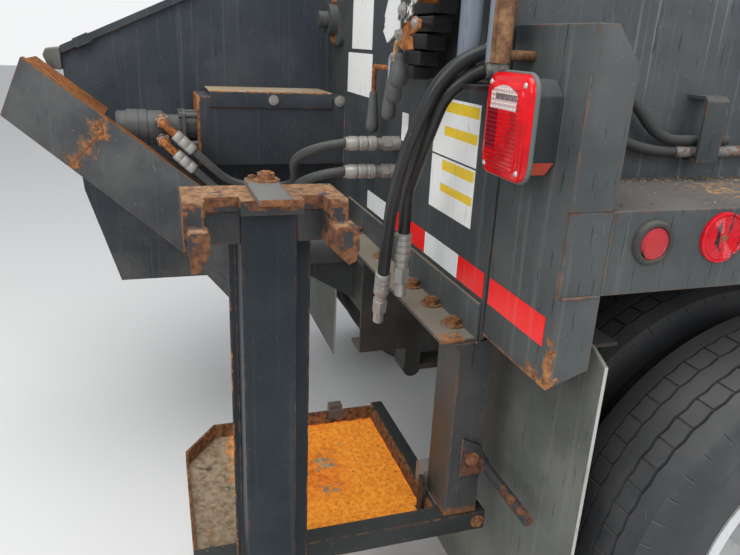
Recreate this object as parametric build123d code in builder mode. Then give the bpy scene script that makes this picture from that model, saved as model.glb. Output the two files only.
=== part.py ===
from build123d import *
from math import acos, hypot, tan
import os

os.makedirs("parts", exist_ok=True)

# Driving dimensions, in millimetres. X is to the curb side, Y forward, Z up.
# The origin is the centre of the front crossmember's front face.
rear_y = -1400.0
wall_thick = 8.0
wall_half = 954.0
wall_low = 77.0
body_top = 951.0
side_x = wall_half - 14.0
floor_z = 200.0
floor_thick = 6.0
sheet = 6.0

# Frame rails: two channels with their flanges inward
rail_out = 432.0
rail_flange = 82.0
rail_thick = 8.0
rail_top = 60.0
rail_low = -195.0
rail_end_y = -1480.0
rail_web_in = rail_out - rail_thick
rail_height = rail_top - rail_low
rail_length = -rail_end_y

with BuildPart() as frame_rails:
    with BuildSketch(Plane.XZ):
        with Locations((rail_out - rail_flange / 2, (rail_top + rail_low) / 2)):
            Rectangle(rail_flange, rail_height)
        with Locations((rail_web_in - rail_flange / 2, (rail_top + rail_low) / 2)):
            Rectangle(rail_flange, rail_height - 2 * rail_thick, mode=Mode.SUBTRACT)
    extrude(amount=rail_length)
    mirror(about=Plane.YZ)
    with BuildSketch(Plane.XY.offset(rail_low)):
        with Locations((rail_flange / 2 - rail_out, (rail_end_y + rear_y) / 2)):
            Rectangle(rail_flange, rear_y - rail_end_y)
    extrude(amount=rail_height, mode=Mode.SUBTRACT)

# Crossmembers between the rails: name, Y from, Y to, Z from, Z to, side the channel opens to
cross_half_height = 52.0
cross_depth = 100.0
rear_cross_depth = 80.0
cross_table = [
    ("front", -cross_depth, 0.0, -cross_half_height, cross_half_height, -1),
    ("rear", rear_y, rear_y + rear_cross_depth, rail_low + rail_thick, cross_half_height, 1),
]

with BuildPart() as crossmembers:
    for cross_name, cross_y0, cross_y1, cross_z0, cross_z1, cross_side in cross_table:
        with BuildSketch(Plane.XY.offset(cross_z0)):
            with Locations((0, (cross_y0 + cross_y1) / 2)):
                Rectangle(2 * rail_web_in, cross_y1 - cross_y0)
        extrude(amount=cross_z1 - cross_z0)
        with BuildSketch(Plane.XY.offset(cross_z0 + rail_thick)):
            with Locations((0, (cross_y0 + cross_y1) / 2 + cross_side * rail_thick)):
                Rectangle(2 * rail_web_in, cross_y1 - cross_y0)
        extrude(amount=cross_z1 - cross_z0 - 2 * rail_thick, mode=Mode.SUBTRACT)

# Body floor with its two long sills and three cross bearers
bearer_low = 150.0
bearer_width = 60.0
floor_half = side_x - wall_thick
floor_end_y = rear_y + wall_thick
bearer_places = [-1200.0, -700.0, -150.0]

with BuildPart() as body_floor:
    with BuildSketch(Plane.XY.offset(floor_z)):
        with Locations((0, floor_end_y / 2)):
            Rectangle(2 * floor_half, -floor_end_y)
    extrude(amount=floor_thick)
    with BuildSketch(Plane.XY.offset(bearer_low)):
        for bearer_y in bearer_places:
            with Locations((0, bearer_y)):
                Rectangle(2 * floor_half, bearer_width)
    extrude(amount=floor_z - bearer_low)
    with BuildSketch(Plane.XZ):
        for sill_side in (-1, 1):
            with Locations((sill_side * (rail_out - rail_flange / 2), (floor_z + rail_top) / 2)):
                Rectangle(rail_flange, floor_z - rail_top)
    extrude(amount=-floor_end_y)
    with BuildSketch(Plane.XZ):
        for sill_side in (-1, 1):
            with Locations((sill_side * (rail_out - rail_flange / 2), (floor_z + rail_top) / 2)):
                Rectangle(rail_flange - 2 * sheet, floor_z - rail_top - 2 * sheet)
    extrude(amount=-floor_end_y, mode=Mode.SUBTRACT)

# Side walls with the upright ribs welded on them
rib_depth = 45.0
rib_width = 70.0
shelf_top = 386.0
rib_low = shelf_top + 190.0
rib_places = [-820.0, -410.0]

with BuildPart() as side_walls:
    with BuildSketch(Plane.XY.offset(floor_z)):
        with Locations((side_x - wall_thick / 2, floor_end_y / 2)):
            Rectangle(wall_thick, -floor_end_y)
    extrude(amount=body_top - floor_z)
    with BuildSketch(Plane.XY.offset(rib_low)):
        for rib_y in rib_places:
            with Locations((side_x + rib_depth / 2, rib_y)):
                Rectangle(rib_depth, rib_width)
            with Locations((side_x + rib_depth / 2 - sheet, rib_y)):
                Rectangle(rib_depth, rib_width - 2 * sheet, mode=Mode.SUBTRACT)
    extrude(amount=body_top - rib_low)
    mirror(about=Plane.YZ)

# Fenders: a shelf and an outer panel bent from one sheet, the panel on past the corner post
fender_x = wall_half + 229.0
fender_low = 249.0
fender_lip = 28.0
post_front_y = -1322.0

with BuildPart() as fenders:
    with BuildSketch(Plane.XZ):
        with Locations(((side_x + fender_x) / 2, shelf_top - sheet / 2)):
            Rectangle(fender_x - side_x, sheet)
        with Locations((fender_x - fender_lip / 2, fender_low + sheet / 2)):
            Rectangle(fender_lip, sheet)
    extrude(amount=-post_front_y)
    with BuildSketch(Plane.XZ):
        with Locations((fender_x - sheet / 2, (fender_low + shelf_top) / 2)):
            Rectangle(sheet, shelf_top - fender_low)
    extrude(amount=-rear_y)
    mirror(about=Plane.YZ)

# Corner posts: boxes open at the foot, sloped at the top and foot, let into the fender panel
post_in = wall_half + 7.0
post_top = 650.0
post_shoulder_y = rear_y + 35.0
post_side = [
    (rear_y, 89.0),
    (rear_y, post_top),
    (post_shoulder_y, post_top),
    (post_front_y, post_top - 52.0),
    (post_front_y, 118.0),
]
post_core = [
    (rear_y + sheet, 60.0),
    (rear_y + sheet, post_top - sheet),
    (post_shoulder_y - sheet / 2, post_top - sheet),
    (post_front_y - sheet, post_top - 52.0 - sheet / 2),
    (post_front_y - sheet, 60.0),
]

with BuildPart() as corner_posts:
    with BuildSketch(Plane.YZ.offset(post_in)):
        Polygon(*post_side, align=None)
    extrude(amount=fender_x - post_in)
    with BuildSketch(Plane.YZ.offset(post_in + sheet)):
        Polygon(*post_core, align=None)
    extrude(amount=fender_x - post_in - 2 * sheet, mode=Mode.SUBTRACT)
    with BuildSketch(Plane.YZ.offset(fender_x - sheet)):
        with Locations(((rear_y + post_front_y) / 2, (fender_low + shelf_top) / 2)):
            Rectangle(post_front_y - rear_y, shelf_top - fender_low)
    extrude(amount=sheet, mode=Mode.SUBTRACT)
    mirror(about=Plane.YZ)

# Rear wall with the window through which the hopper feeds the load space
hopper_in = -260.0
hopper_out = 4.0 - wall_half
window_x = (hopper_out + 50.0, hopper_in - 50.0)
window_z = (floor_z + 60.0, 780.0)

with BuildPart() as rear_wall:
    with BuildSketch(Plane.XZ.offset(-rear_y - wall_thick)):
        with Locations((0, (wall_low + body_top) / 2)):
            Rectangle(2 * wall_half, body_top - wall_low)
        with Locations((sum(window_x) / 2, sum(window_z) / 2)):
            Rectangle(window_x[1] - window_x[0], window_z[1] - window_z[0], mode=Mode.SUBTRACT)
    extrude(amount=wall_thick)

# Hopper: an open bin on the street half of the rear wall, its side edges turned out as a rim
hopper_lip_y = -2235.0
hopper_lip_z = 566.0
rim_width = 14.0
rim_drop = 22.0
hopper_side = [
    (rear_y, body_top),
    (hopper_lip_y, hopper_lip_z),
    (-2232.0, 443.0),
    (-2208.0, 128.0),
    (-2121.0, -186.0),
    (rear_y, -188.0),
]
hopper_core = [
    (rear_y - sheet, body_top + 60.0),
    (hopper_lip_y + sheet, 640.0),
    (-2226.0, 443.0),
    (-2202.0, 129.0),
    (-2116.0, -180.0),
    (rear_y - sheet, -182.0),
]
rim_side = [
    (rear_y, body_top),
    (hopper_lip_y, hopper_lip_z),
    (hopper_lip_y, hopper_lip_z - rim_drop),
    (rear_y, body_top - rim_drop),
]
rim_patch = [(-2199.0, 586.0), (-2156.0, 606.0), (-2144.0, 581.0), (-2188.0, 561.0)]

with BuildPart() as hopper:
    with BuildSketch(Plane.YZ.offset(hopper_out)):
        Polygon(*hopper_side, align=None)
    extrude(amount=hopper_in - hopper_out)
    with BuildSketch(Plane.YZ.offset(hopper_out + sheet)):
        Polygon(*hopper_core, align=None)
    extrude(amount=hopper_in - hopper_out - 2 * sheet, mode=Mode.SUBTRACT)
    for rim_from in (hopper_out - rim_width, hopper_in):
        with BuildSketch(Plane.YZ.offset(rim_from)):
            Polygon(*rim_side, align=None)
        extrude(amount=rim_width)
    with BuildSketch(Plane.YZ.offset(hopper_in + rim_width)):
        Polygon(*rim_patch, align=None)
    extrude(amount=sheet)
    with BuildSketch(Plane.XZ.offset(-rear_y - 1.0)):
        with Locations((sum(window_x) / 2, sum(window_z) / 2)):
            Rectangle(window_x[1] - window_x[0], window_z[1] - window_z[0])
    extrude(amount=sheet + 2.0, mode=Mode.SUBTRACT)

# Rubber bumper on the hopper's lip
bumper_reach = 50.0
bumper_side = [
    (hopper_lip_y, hopper_lip_z - 4.0),
    (hopper_lip_y - bumper_reach + 10.0, hopper_lip_z - 8.0),
    (hopper_lip_y - bumper_reach, hopper_lip_z - 28.0),
    (hopper_lip_y - bumper_reach + 14.0, hopper_lip_z - 66.0),
    (hopper_lip_y, hopper_lip_z - 70.0),
]
bumper_length = 110.0
with BuildPart() as hopper_bumper:
    with BuildSketch(Plane.YZ.offset(hopper_in - bumper_length)):
        Polygon(*bumper_side, align=None)
    extrude(amount=bumper_length + rim_width)
    with BuildSketch(Plane.YZ.offset(hopper_in - bumper_length)):
        Polygon(*hopper_side, align=None)
    extrude(amount=bumper_length + rim_width, mode=Mode.SUBTRACT)

# Running gear
axle_y = -700.0
axle_z = -385.0
wheel_mid = 957.5
dual_half = 157.5
tyre_radius = 505.0
rim_radius = 286.0
axle_radius = 60.0
spindle_radius = 42.0
hub_bore = spindle_radius + 1.0
spindle_end = wheel_mid + 132.5
axle_tube_end = wheel_mid - 267.5
brake_radius = 190.0
brake_thick = 8.0
case_radius = 190.0
axle_plane = Plane(origin=(0, axle_y, axle_z), x_dir=(1, 0, 0), z_dir=(0, 0, 1))
axle_line = Axis((0, axle_y, axle_z), (1, 0, 0))

# Differential case: name, half width, radius
case_bands = [("crown", 60.0, case_radius), ("shoulder", 150.0, case_radius - 40.0), ("root", 230.0, 0.0)]

with BuildPart() as rear_axle:
    with BuildSketch(axle_plane):
        with Locations((0, axle_radius / 2)):
            Rectangle(2 * axle_tube_end, axle_radius)
        Polygon(
            *[(-band_half, band_radius) for band_name, band_half, band_radius in reversed(case_bands)],
            *[(band_half, band_radius) for band_name, band_half, band_radius in case_bands],
            align=None,
        )
        with Locations((0, spindle_radius / 2)):
            Rectangle(2 * spindle_end, spindle_radius)
    revolve(axis=axle_line)

with BuildPart() as brake_plates:
    with BuildSketch(Plane.YZ.offset(axle_tube_end - brake_thick)):
        with Locations((axle_y, axle_z)):
            Circle(brake_radius)
            Circle(axle_radius, mode=Mode.SUBTRACT)
    extrude(amount=brake_thick)
    mirror(about=Plane.YZ)

# Rim and hub outline beside the mounting plane: name, from, to, inner and outer radius
bead_radius = rim_radius + 18.0
barrel_in = rim_radius - 10.0
disc_out = rim_radius - 44.0
rim_near = dual_half - 105.0
rim_far = dual_half + 105.0
hub_radius = 108.0
hub_half = 110.0
wheel_bands = [
    ("barrel", rim_near, rim_far, barrel_in, rim_radius),
    ("inner lip", rim_near, rim_near + 10.0, barrel_in, bead_radius),
    ("outer lip", rim_far - 10.0, rim_far, barrel_in, bead_radius),
    ("disc", 0.0, 10.0, 100.0, disc_out),
    ("hub", 0.0, hub_half, hub_bore, hub_radius),
]
hub_cap_radius = 80.0
hub_cap_end = wheel_mid + 200.0
drum_radius = brake_radius + 12.0
hand_hole_circle = (disc_out + hub_radius) / 2 + 43.0
hand_hole_radius = 24.0
hand_hole_count = 8

with BuildPart() as wheel_right:
    with BuildSketch(axle_plane):
        for band_name, band_from, band_to, band_in, band_out in wheel_bands:
            for band_side in (-1, 1):
                band_mid = wheel_mid + band_side * (band_from + band_to) / 2
                with Locations((band_mid, (band_in + band_out) / 2)):
                    Rectangle(band_to - band_from, band_out - band_in)
        for band_side in (-1, 1):
            Polygon(
                (wheel_mid, disc_out - 16.0),
                (wheel_mid + band_side * 10.0, disc_out - 16.0),
                (wheel_mid + band_side * (rim_near + 11.5), barrel_in),
                (wheel_mid + band_side * (rim_near + 0.5), barrel_in + 4.0),
                (wheel_mid, disc_out),
                align=None,
            )
        with Locations(((wheel_mid + hub_half + hub_cap_end) / 2, hub_cap_radius / 2)):
            Rectangle(hub_cap_end - wheel_mid - hub_half, hub_cap_radius)
        with Locations(((wheel_mid - hub_half + spindle_end + 6.0) / 2, hub_bore / 2)):
            Rectangle(spindle_end + 6.0 - wheel_mid + hub_half, hub_bore, mode=Mode.SUBTRACT)
        with Locations((wheel_mid - hub_half - 20.0, drum_radius - 6.0)):
            Rectangle(2 * hub_half + 20.0, 12.0)
        with Locations((wheel_mid - 16.0, (hub_radius + drum_radius) / 2 - 5.0)):
            Rectangle(12.0, drum_radius - hub_radius + 8.0)
    revolve(axis=axle_line)
    with BuildSketch(Plane.YZ.offset(wheel_mid - 12.0)):
        with Locations((axle_y, axle_z)):
            with PolarLocations(hand_hole_circle, hand_hole_count):
                Circle(hand_hole_radius)
    extrude(amount=24.0, mode=Mode.SUBTRACT)

with BuildPart() as wheel_left:
    add(wheel_right.part)
    mirror(about=Plane.YZ, mode=Mode.REPLACE)

# Tyre section beside its middle plane: half width, radius
tyre_half_outline = [
    (rim_far - 10.0 - dual_half, rim_radius),
    (rim_far - 10.0 - dual_half, bead_radius),
    (118.0, bead_radius + 46.0),
    (131.0, tyre_radius - 105.0),
    (124.0, tyre_radius - 43.0),
    (108.0, tyre_radius - 8.0),
    (84.0, tyre_radius),
]

with BuildPart() as tyres_right:
    with BuildSketch(axle_plane):
        for tyre_mid in (wheel_mid - dual_half, wheel_mid + dual_half):
            Polygon(
                *[(tyre_mid + half, band) for half, band in tyre_half_outline],
                *[(tyre_mid - half, band) for half, band in reversed(tyre_half_outline)],
                align=None,
            )
    revolve(axis=axle_line)

with BuildPart() as tyres_left:
    add(tyres_right.part)
    mirror(about=Plane.YZ, mode=Mode.REPLACE)

# Leaf springs: name, half length, row from the bottom
spring_x = rail_out - rail_flange / 2
spring_width = 76.0
leaf_thick = 14.0
spring_low = axle_z + axle_radius
spring_leaves = [
    ("shortest", 150.0, 1),
    ("short", 260.0, 2),
    ("middle", 380.0, 3),
    ("long", 500.0, 4),
    ("main", 610.0, 5),
]
eye_radius = 26.0
eye_reach = 620.0
shackle_width = 46.0
seat_length = 180.0
seat_thick = 16.0
eye_z = spring_low + 4.5 * leaf_thick

with BuildPart() as leaf_springs:
    with BuildSketch(Plane.YZ.offset(spring_x - spring_width / 2)):
        for leaf_name, leaf_half, leaf_row in spring_leaves:
            with Locations((axle_y, spring_low + (leaf_row - 0.5) * leaf_thick)):
                Rectangle(2 * leaf_half, leaf_thick)
        with Locations((axle_y, spring_low + 5 * leaf_thick + seat_thick / 2)):
            Rectangle(seat_length, seat_thick)
        for eye_y in (axle_y - eye_reach, axle_y + eye_reach):
            with Locations((eye_y, eye_z)):
                Circle(eye_radius)
            with Locations((eye_y, (rail_low + eye_z) / 2)):
                Rectangle(shackle_width, rail_low - eye_z)
    extrude(amount=spring_width)
    mirror(about=Plane.YZ)

# Mud flaps and their angle brackets
flap_y = -1285.0
flap_thick = 8.0
flap_face_y = flap_y + flap_thick / 2
flap_x = (fender_x - 633.0, fender_x)
flap_z = (-700.0, 140.0)
flap_corner = 22.0
bracket_leg = 40.0
bracket_front = 46.0

with BuildPart() as mud_flaps:
    with BuildSketch(Plane.XZ.offset(-flap_face_y)):
        with Locations((sum(flap_x) / 2, sum(flap_z) / 2)):
            Rectangle(flap_x[1] - flap_x[0], flap_z[1] - flap_z[0])
        Polygon(
            (flap_x[1] - 2 * flap_corner, flap_z[1]),
            (flap_x[1], flap_z[1]),
            (flap_x[1], flap_z[1] - flap_corner),
            align=None,
            mode=Mode.SUBTRACT,
        )
    extrude(amount=flap_thick)
    mirror(about=Plane.YZ)

with BuildPart() as flap_brackets:
    with BuildSketch(Plane.YZ.offset(rail_out)):
        with Locations((flap_face_y + sheet / 2, flap_z[1] - bracket_leg / 2)):
            Rectangle(sheet, bracket_leg)
        with Locations((flap_face_y + bracket_front / 2, flap_z[1] - sheet / 2)):
            Rectangle(bracket_front, sheet)
    extrude(amount=flap_x[1] - 2 * flap_corner - rail_out)
    mirror(about=Plane.YZ)

# Tail lamps: a box with chamfered corners, a rim plate, and a red lens with a raised field
lamp_x = fender_x - 116.0
lamp_z = 498.0
lamp_width = 142.0
lamp_height = 166.0
lamp_box_depth = 46.0
lamp_rim_depth = 8.0
lens_depth = 9.0
field_depth = 5.0
lamp_box = [
    (lamp_x - 59.0, 452.0),
    (lamp_x - 36.0, 428.0),
    (lamp_x + 36.0, 428.0),
    (lamp_x + 59.0, 452.0),
    (lamp_x + 59.0, 548.0),
    (lamp_x + 36.0, 571.0),
    (lamp_x - 36.0, 571.0),
    (lamp_x - 59.0, 548.0),
]

with BuildPart() as tail_lamp_housings:
    with BuildSketch(Plane.XZ.offset(-rear_y)):
        Polygon(*lamp_box, align=None)
    extrude(amount=lamp_box_depth)
    with BuildSketch(Plane.XZ.offset(-rear_y + lamp_box_depth)):
        with Locations((lamp_x, lamp_z)):
            RectangleRounded(lamp_width, lamp_height, 30.0)
    extrude(amount=lamp_rim_depth)
    mirror(about=Plane.YZ)

lens_y = lamp_box_depth + lamp_rim_depth - rear_y
with BuildPart() as tail_lamp_lenses:
    with BuildSketch(Plane.XZ.offset(lens_y)):
        with Locations((lamp_x, lamp_z)):
            RectangleRounded(lamp_width - 6.0, lamp_height - 6.0, 27.0)
    extrude(amount=lens_depth, taper=14.0)
    with BuildSketch(Plane.XZ.offset(lens_y + lens_depth)):
        with Locations((lamp_x, lamp_z)):
            RectangleRounded(lamp_width - 32.0, lamp_height - 28.0, 20.0)
    extrude(amount=field_depth, taper=20.0)
    mirror(about=Plane.YZ)

# Marker lamps in rubber rings, and the round reflectors ahead of them
marker_y = -1244.0
marker_z = 334.0
marker_radius = 27.0
ring_radius = 37.0
reflector_y = -1107.0
reflector_z = 337.0
reflector_radius = 42.5
with BuildPart() as marker_lamp_grommets:
    with BuildSketch(Plane.YZ.offset(fender_x)):
        with Locations((marker_y, marker_z)):
            Circle(ring_radius)
            Circle(marker_radius, mode=Mode.SUBTRACT)
    extrude(amount=10.0)
    mirror(about=Plane.YZ)

with BuildPart() as marker_lamp_lenses:
    with BuildSketch(Plane.YZ.offset(fender_x)):
        with Locations((marker_y, marker_z)):
            Circle(marker_radius)
    extrude(amount=8.0)
    mirror(about=Plane.YZ)

with BuildPart() as side_reflectors:
    with BuildSketch(Plane.YZ.offset(fender_x)):
        with Locations((reflector_y, reflector_z)):
            Circle(reflector_radius)
    extrude(amount=7.0)
    mirror(about=Plane.YZ)

# Reflective tape: from and to along X
tape_z = (158.0, 208.8)
tape_thick = 1.0
tape_end = fender_x - 25.0
red_tape = [
    (375.0, 645.0),
    (825.0, wall_half - 11.0),
    (post_in + 6.0, tape_end),
    (-tape_end, -post_in - 6.0),
]
white_tape = [(197.0, 375.0), (645.0, 825.0)]

with BuildPart() as tape_red:
    with BuildSketch(Plane.XZ.offset(-rear_y)):
        for tape_from, tape_to in red_tape:
            with Locations(((tape_from + tape_to) / 2, sum(tape_z) / 2)):
                Rectangle(tape_to - tape_from, tape_z[1] - tape_z[0])
    extrude(amount=tape_thick)

with BuildPart() as tape_white:
    with BuildSketch(Plane.XZ.offset(-rear_y)):
        for tape_from, tape_to in white_tape:
            with Locations(((tape_from + tape_to) / 2, sum(tape_z) / 2)):
                Rectangle(tape_to - tape_from, tape_z[1] - tape_z[0])
    extrude(amount=tape_thick)

# Blank plates: name, X from, X to, Z from, Z to
plate_table = [
    ("right lower", 652.0, 865.0, 275.0, 390.0),
    ("right upper", 652.0, 865.0, 394.0, 511.0),
    ("left lower", -52.0, 189.0, 467.0, 583.0),
    ("left upper", -15.0, 180.0, 594.0, 728.0),
    ("small", 450.0, 492.0, 389.0, 456.0),
]

with BuildPart() as blank_plates:
    with BuildSketch(Plane.XZ.offset(-rear_y)):
        for plate_name, plate_x0, plate_x1, plate_z0, plate_z1 in plate_table:
            with Locations(((plate_x0 + plate_x1) / 2, (plate_z0 + plate_z1) / 2)):
                Rectangle(plate_x1 - plate_x0, plate_z1 - plate_z0)
    extrude(amount=tape_thick)

# Angle along the foot of the wall, with the step hung from it
angle_x = (12.0, wall_half - 9.0)
angle_low = 69.0
angle_thick = 8.0
angle_leg = 79.0
angle_out_y = rear_y - 80.0
column_x = (angle_x[1] - 100.0, angle_x[1])
column_y = (rear_y - 37.0, rear_y + 38.0)
bar_top = -345.0
bar_height = 45.0
bar_low = bar_top - bar_height

with BuildPart() as wall_angle:
    with BuildSketch(Plane.YZ.offset(angle_x[0])):
        with Locations((rear_y - angle_thick / 2, angle_low + angle_leg / 2)):
            Rectangle(angle_thick, angle_leg)
        with Locations(((rear_y + angle_out_y) / 2, angle_low + angle_thick / 2)):
            Rectangle(rear_y - angle_out_y, angle_thick)
    extrude(amount=angle_x[1] - angle_x[0])

# Step column: a square tube with a gusset at its head and a rusty brace half way down
gusset_drop = 53.0
brace_thick = 8.0
brace_outline = [
    (column_y[0] + 27.0, -150.0),
    (column_y[0] + 65.0, -170.0),
    (column_y[1] + 17.0, -215.0),
    (column_y[0] + 65.0, -250.0),
    (column_y[0] + 27.0, -240.0),
]
brace_rod_radius = 11.0
brace_rod_length = 195.0

with BuildPart() as step_column:
    with BuildSketch(Plane.XY.offset(bar_top)):
        with Locations((sum(column_x) / 2, sum(column_y) / 2)):
            Rectangle(column_x[1] - column_x[0], column_y[1] - column_y[0])
            Rectangle(
                column_x[1] - column_x[0] - 2 * sheet,
                column_y[1] - column_y[0] - 2 * sheet,
                mode=Mode.SUBTRACT,
            )
    extrude(amount=angle_low - bar_top)
    with BuildSketch(Plane.YZ.offset(column_x[1])):
        Polygon(
            (angle_out_y + 25.0, angle_low),
            (column_y[0] + 26.0, angle_low),
            (column_y[0] + 26.0, angle_low - gusset_drop),
            align=None,
        )
    extrude(amount=sheet)
    with BuildSketch(Plane.YZ.offset(column_x[1])):
        Polygon(*brace_outline, align=None)
    extrude(amount=brace_thick)
    with BuildSketch(Plane.YZ.offset(column_x[1])):
        with Locations((column_y[1], -215.0)):
            Circle(brace_rod_radius)
    extrude(amount=brace_rod_length)

# Step tray: a floor with upright rims and a cut corner, a box bar along its near edge
tray_x = (angle_x[1] - 480.0, angle_x[1] + 5.0)
tray_y = (rear_y - 558.0, rear_y - 47.0)
tray_cut = (105.0, 76.0)
bar_width = 40.0
tray_thick = 5.0
flange_y = tray_y[1] + 32.0
bar_end_y = rear_y + 60.0
low_rim = 18.0
tray_outline = [
    (tray_x[0], tray_y[1]),
    (tray_x[0], tray_y[0] + tray_cut[1]),
    (tray_x[0] + tray_cut[0], tray_y[0]),
    (tray_x[1], tray_y[0]),
    (tray_x[1], tray_y[1]),
]
tray_inside = [
    (tray_x[0] + sheet, tray_y[1] - sheet),
    (tray_x[0] + sheet, tray_y[0] + tray_cut[1] + 3.0),
    (tray_x[0] + tray_cut[0] + 2.0, tray_y[0] + sheet),
    (tray_x[1] - bar_width, tray_y[0] + sheet),
    (tray_x[1] - bar_width, tray_y[1] - sheet),
]
# Small pieces on the rims: name, X from, X to, Y from, Y to, Z from, Z to
tray_fittings = [
    ("flange", tray_x[0] - 14.0, tray_x[1], tray_y[1], flange_y, bar_top - sheet, bar_top),
    ("lug", tray_x[0] - 25.0, tray_x[0], -1570.0, -1534.0, bar_top - 21.0, bar_top + 11.0),
    ("catch", column_x[0] - 45.0, column_x[0], tray_y[1], flange_y + 13.0, bar_top, bar_top + 47.0),
    ("strap", column_x[0] + 5.0, column_x[0] + 31.0, tray_y[1] - 14.0, tray_y[1] - sheet, bar_low, -300.0),
]

with BuildPart() as step_tray:
    with BuildSketch(Plane.XY.offset(bar_low)):
        Polygon(*tray_outline, align=None)
    extrude(amount=bar_height)
    with BuildSketch(Plane.XY.offset(bar_low + tray_thick)):
        Polygon(*tray_inside, align=None)
    extrude(amount=bar_height, mode=Mode.SUBTRACT)
    with BuildSketch(Plane.XY.offset(bar_low + low_rim)):
        with Locations(((tray_x[0] + tray_cut[0] + tray_x[1] - bar_width) / 2, tray_y[0] + sheet / 2)):
            Rectangle(tray_x[1] - bar_width - tray_x[0] - tray_cut[0], sheet)
    extrude(amount=bar_height, mode=Mode.SUBTRACT)
    with BuildSketch(Plane.XY.offset(bar_low)):
        with Locations((tray_x[1] - bar_width / 2, (tray_y[1] + bar_end_y) / 2)):
            Rectangle(bar_width, bar_end_y - tray_y[1])
    extrude(amount=bar_height)
    for fit_name, fit_x0, fit_x1, fit_y0, fit_y1, fit_z0, fit_z1 in tray_fittings:
        with BuildSketch(Plane.XY.offset(fit_z0)):
            with Locations(((fit_x0 + fit_x1) / 2, (fit_y0 + fit_y1) / 2)):
                Rectangle(fit_x1 - fit_x0, fit_y1 - fit_y0)
        extrude(amount=fit_z1 - fit_z0)
    with BuildSketch(Plane.XY.offset(bar_low + tray_thick)):
        with Locations((tray_x[1] - bar_width / 2, (tray_y[0] + bar_end_y) / 2)):
            Rectangle(bar_width - 2 * sheet, bar_end_y - tray_y[0])
    extrude(amount=bar_height - 2 * tray_thick, mode=Mode.SUBTRACT)

# Valve stack on the wall, from the foot up: name, X from and to beside the stack, Z from, Z to
block_x = wall_half - 314.0
block_y = (rear_y - 75.0, rear_y - 35.0)
block_sections = [
    ("fifth", -20.0, 51.0, 545.0, 570.0),
    ("fourth", 0.0, 87.0, 574.0, 600.0),
    ("third", 0.0, 117.0, 604.0, 632.0),
    ("second", 0.0, 142.0, 636.0, 664.0),
    ("first", 0.0, 160.0, 668.0, 780.0),
]
core_x = (block_x + 5.0, block_x + 45.0)
core_z = (548.0, 775.0)

with BuildPart() as valve_block:
    for section_name, section_x0, section_x1, section_z0, section_z1 in block_sections:
        with BuildSketch(Plane.XZ.offset(-block_y[1])):
            with Locations((block_x + (section_x0 + section_x1) / 2, (section_z0 + section_z1) / 2)):
                Rectangle(section_x1 - section_x0, section_z1 - section_z0)
        extrude(amount=block_y[1] - block_y[0])
    with BuildSketch(Plane.XZ.offset(-rear_y)):
        with Locations((sum(core_x) / 2, sum(core_z) / 2)):
            Rectangle(core_x[1] - core_x[0], core_z[1] - core_z[0])
    extrude(amount=rear_y - block_y[0] - 6.0)

# Levers: name, X and Y where the bar starts, its level, X and Y of the grip, its top and foot
lever_table = [
    ("first", block_x - 20.0, rear_y - 40.0, 557.0, block_x - 307.0, rear_y - 40.0, 495.0, 391.0),
    ("second", block_x, rear_y - 62.0, 588.0, block_x - 120.0, rear_y - 62.0, 536.0, 444.0),
    ("third", block_x + 22.0, block_y[0], 620.0, block_x + 22.0, rear_y - 102.0, 578.0, 495.0),
    ("fourth", block_x + 130.0, block_y[0], 648.0, block_x + 130.0, rear_y - 132.0, 596.0, 532.0),
]
lever_radius = 6.0
lever_bend = 14.0
grip_neck = 9.0
grip_bulb = 17.0
guide_y = rear_y - 145.0
guide_thick = 5.0
guide_outline = [
    (block_x + 133.0, 639.0),
    (block_x + 144.0, 644.0),
    (block_x + 144.0, 698.0),
    (block_x + 160.0, 698.0),
    (block_x + 160.0, 648.0),
    (block_x + 217.0, 658.0),
    (block_x + 249.0, 652.0),
    (block_x + 249.0, 638.0),
    (block_x + 210.0, 628.0),
    (block_x + 218.0, 604.0),
    (block_x + 177.0, 601.0),
    (block_x + 149.0, 612.0),
]
guide_pin = (block_x + 152.0, 690.0)

with BuildPart() as lever_bars:
    for lever_name, bar_x, bar_y, bar_z, grip_x, grip_y, grip_top, grip_foot in lever_table:
        bar_start = (bar_x, bar_y, bar_z)
        bar_corner = (grip_x, grip_y, bar_z)
        with BuildLine() as lever_line:
            FilletPolyline(bar_start, bar_corner, (grip_x, grip_y, grip_top), radius=lever_bend)
        with BuildSketch(Plane(origin=bar_start, z_dir=(grip_x - bar_x, grip_y - bar_y, 0))):
            Circle(lever_radius)
        sweep(path=lever_line.line)
    with BuildSketch(Plane.XZ.offset(-guide_y - guide_thick)):
        Polygon(*guide_outline, align=None)
    extrude(amount=guide_thick)
    with BuildSketch(Plane.XZ.offset(-block_y[0])):
        with Locations(guide_pin):
            Circle(lever_radius)
    extrude(amount=block_y[0] - guide_y - guide_thick)

with BuildPart() as lever_grips:
    for lever_name, bar_x, bar_y, bar_z, grip_x, grip_y, grip_top, grip_foot in lever_table:
        with BuildSketch(Plane(origin=(grip_x, grip_y, grip_foot), x_dir=(1, 0, 0), z_dir=(0, -1, 0))):
            Polygon(
                (0, 0),
                (grip_bulb - 6.0, 4.0),
                (grip_bulb, 18.0),
                (grip_bulb - 2.0, 36.0),
                (grip_neck + 1.0, grip_top - grip_foot - 22.0),
                (grip_neck, grip_top - grip_foot),
                (0, grip_top - grip_foot),
                align=None,
            )
        revolve(axis=Axis((grip_x, grip_y, 0), (0, 0, 1)))

# White guard sheet in front of the levers, bolted on the guide plate
guard_outline = [
    (block_x + 64.0, 640.0),
    (block_x + 98.0, 613.0),
    (block_x + 217.0, 657.0),
    (block_x + 244.0, 690.0),
    (block_x + 252.0, 780.0),
    (block_x + 152.0, 780.0),
]
guard_thick = 3.0
with BuildPart() as lever_guard:
    with BuildSketch(Plane.XZ.offset(-guide_y)):
        Polygon(*guard_outline, align=None)
    extrude(amount=guard_thick)

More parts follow.
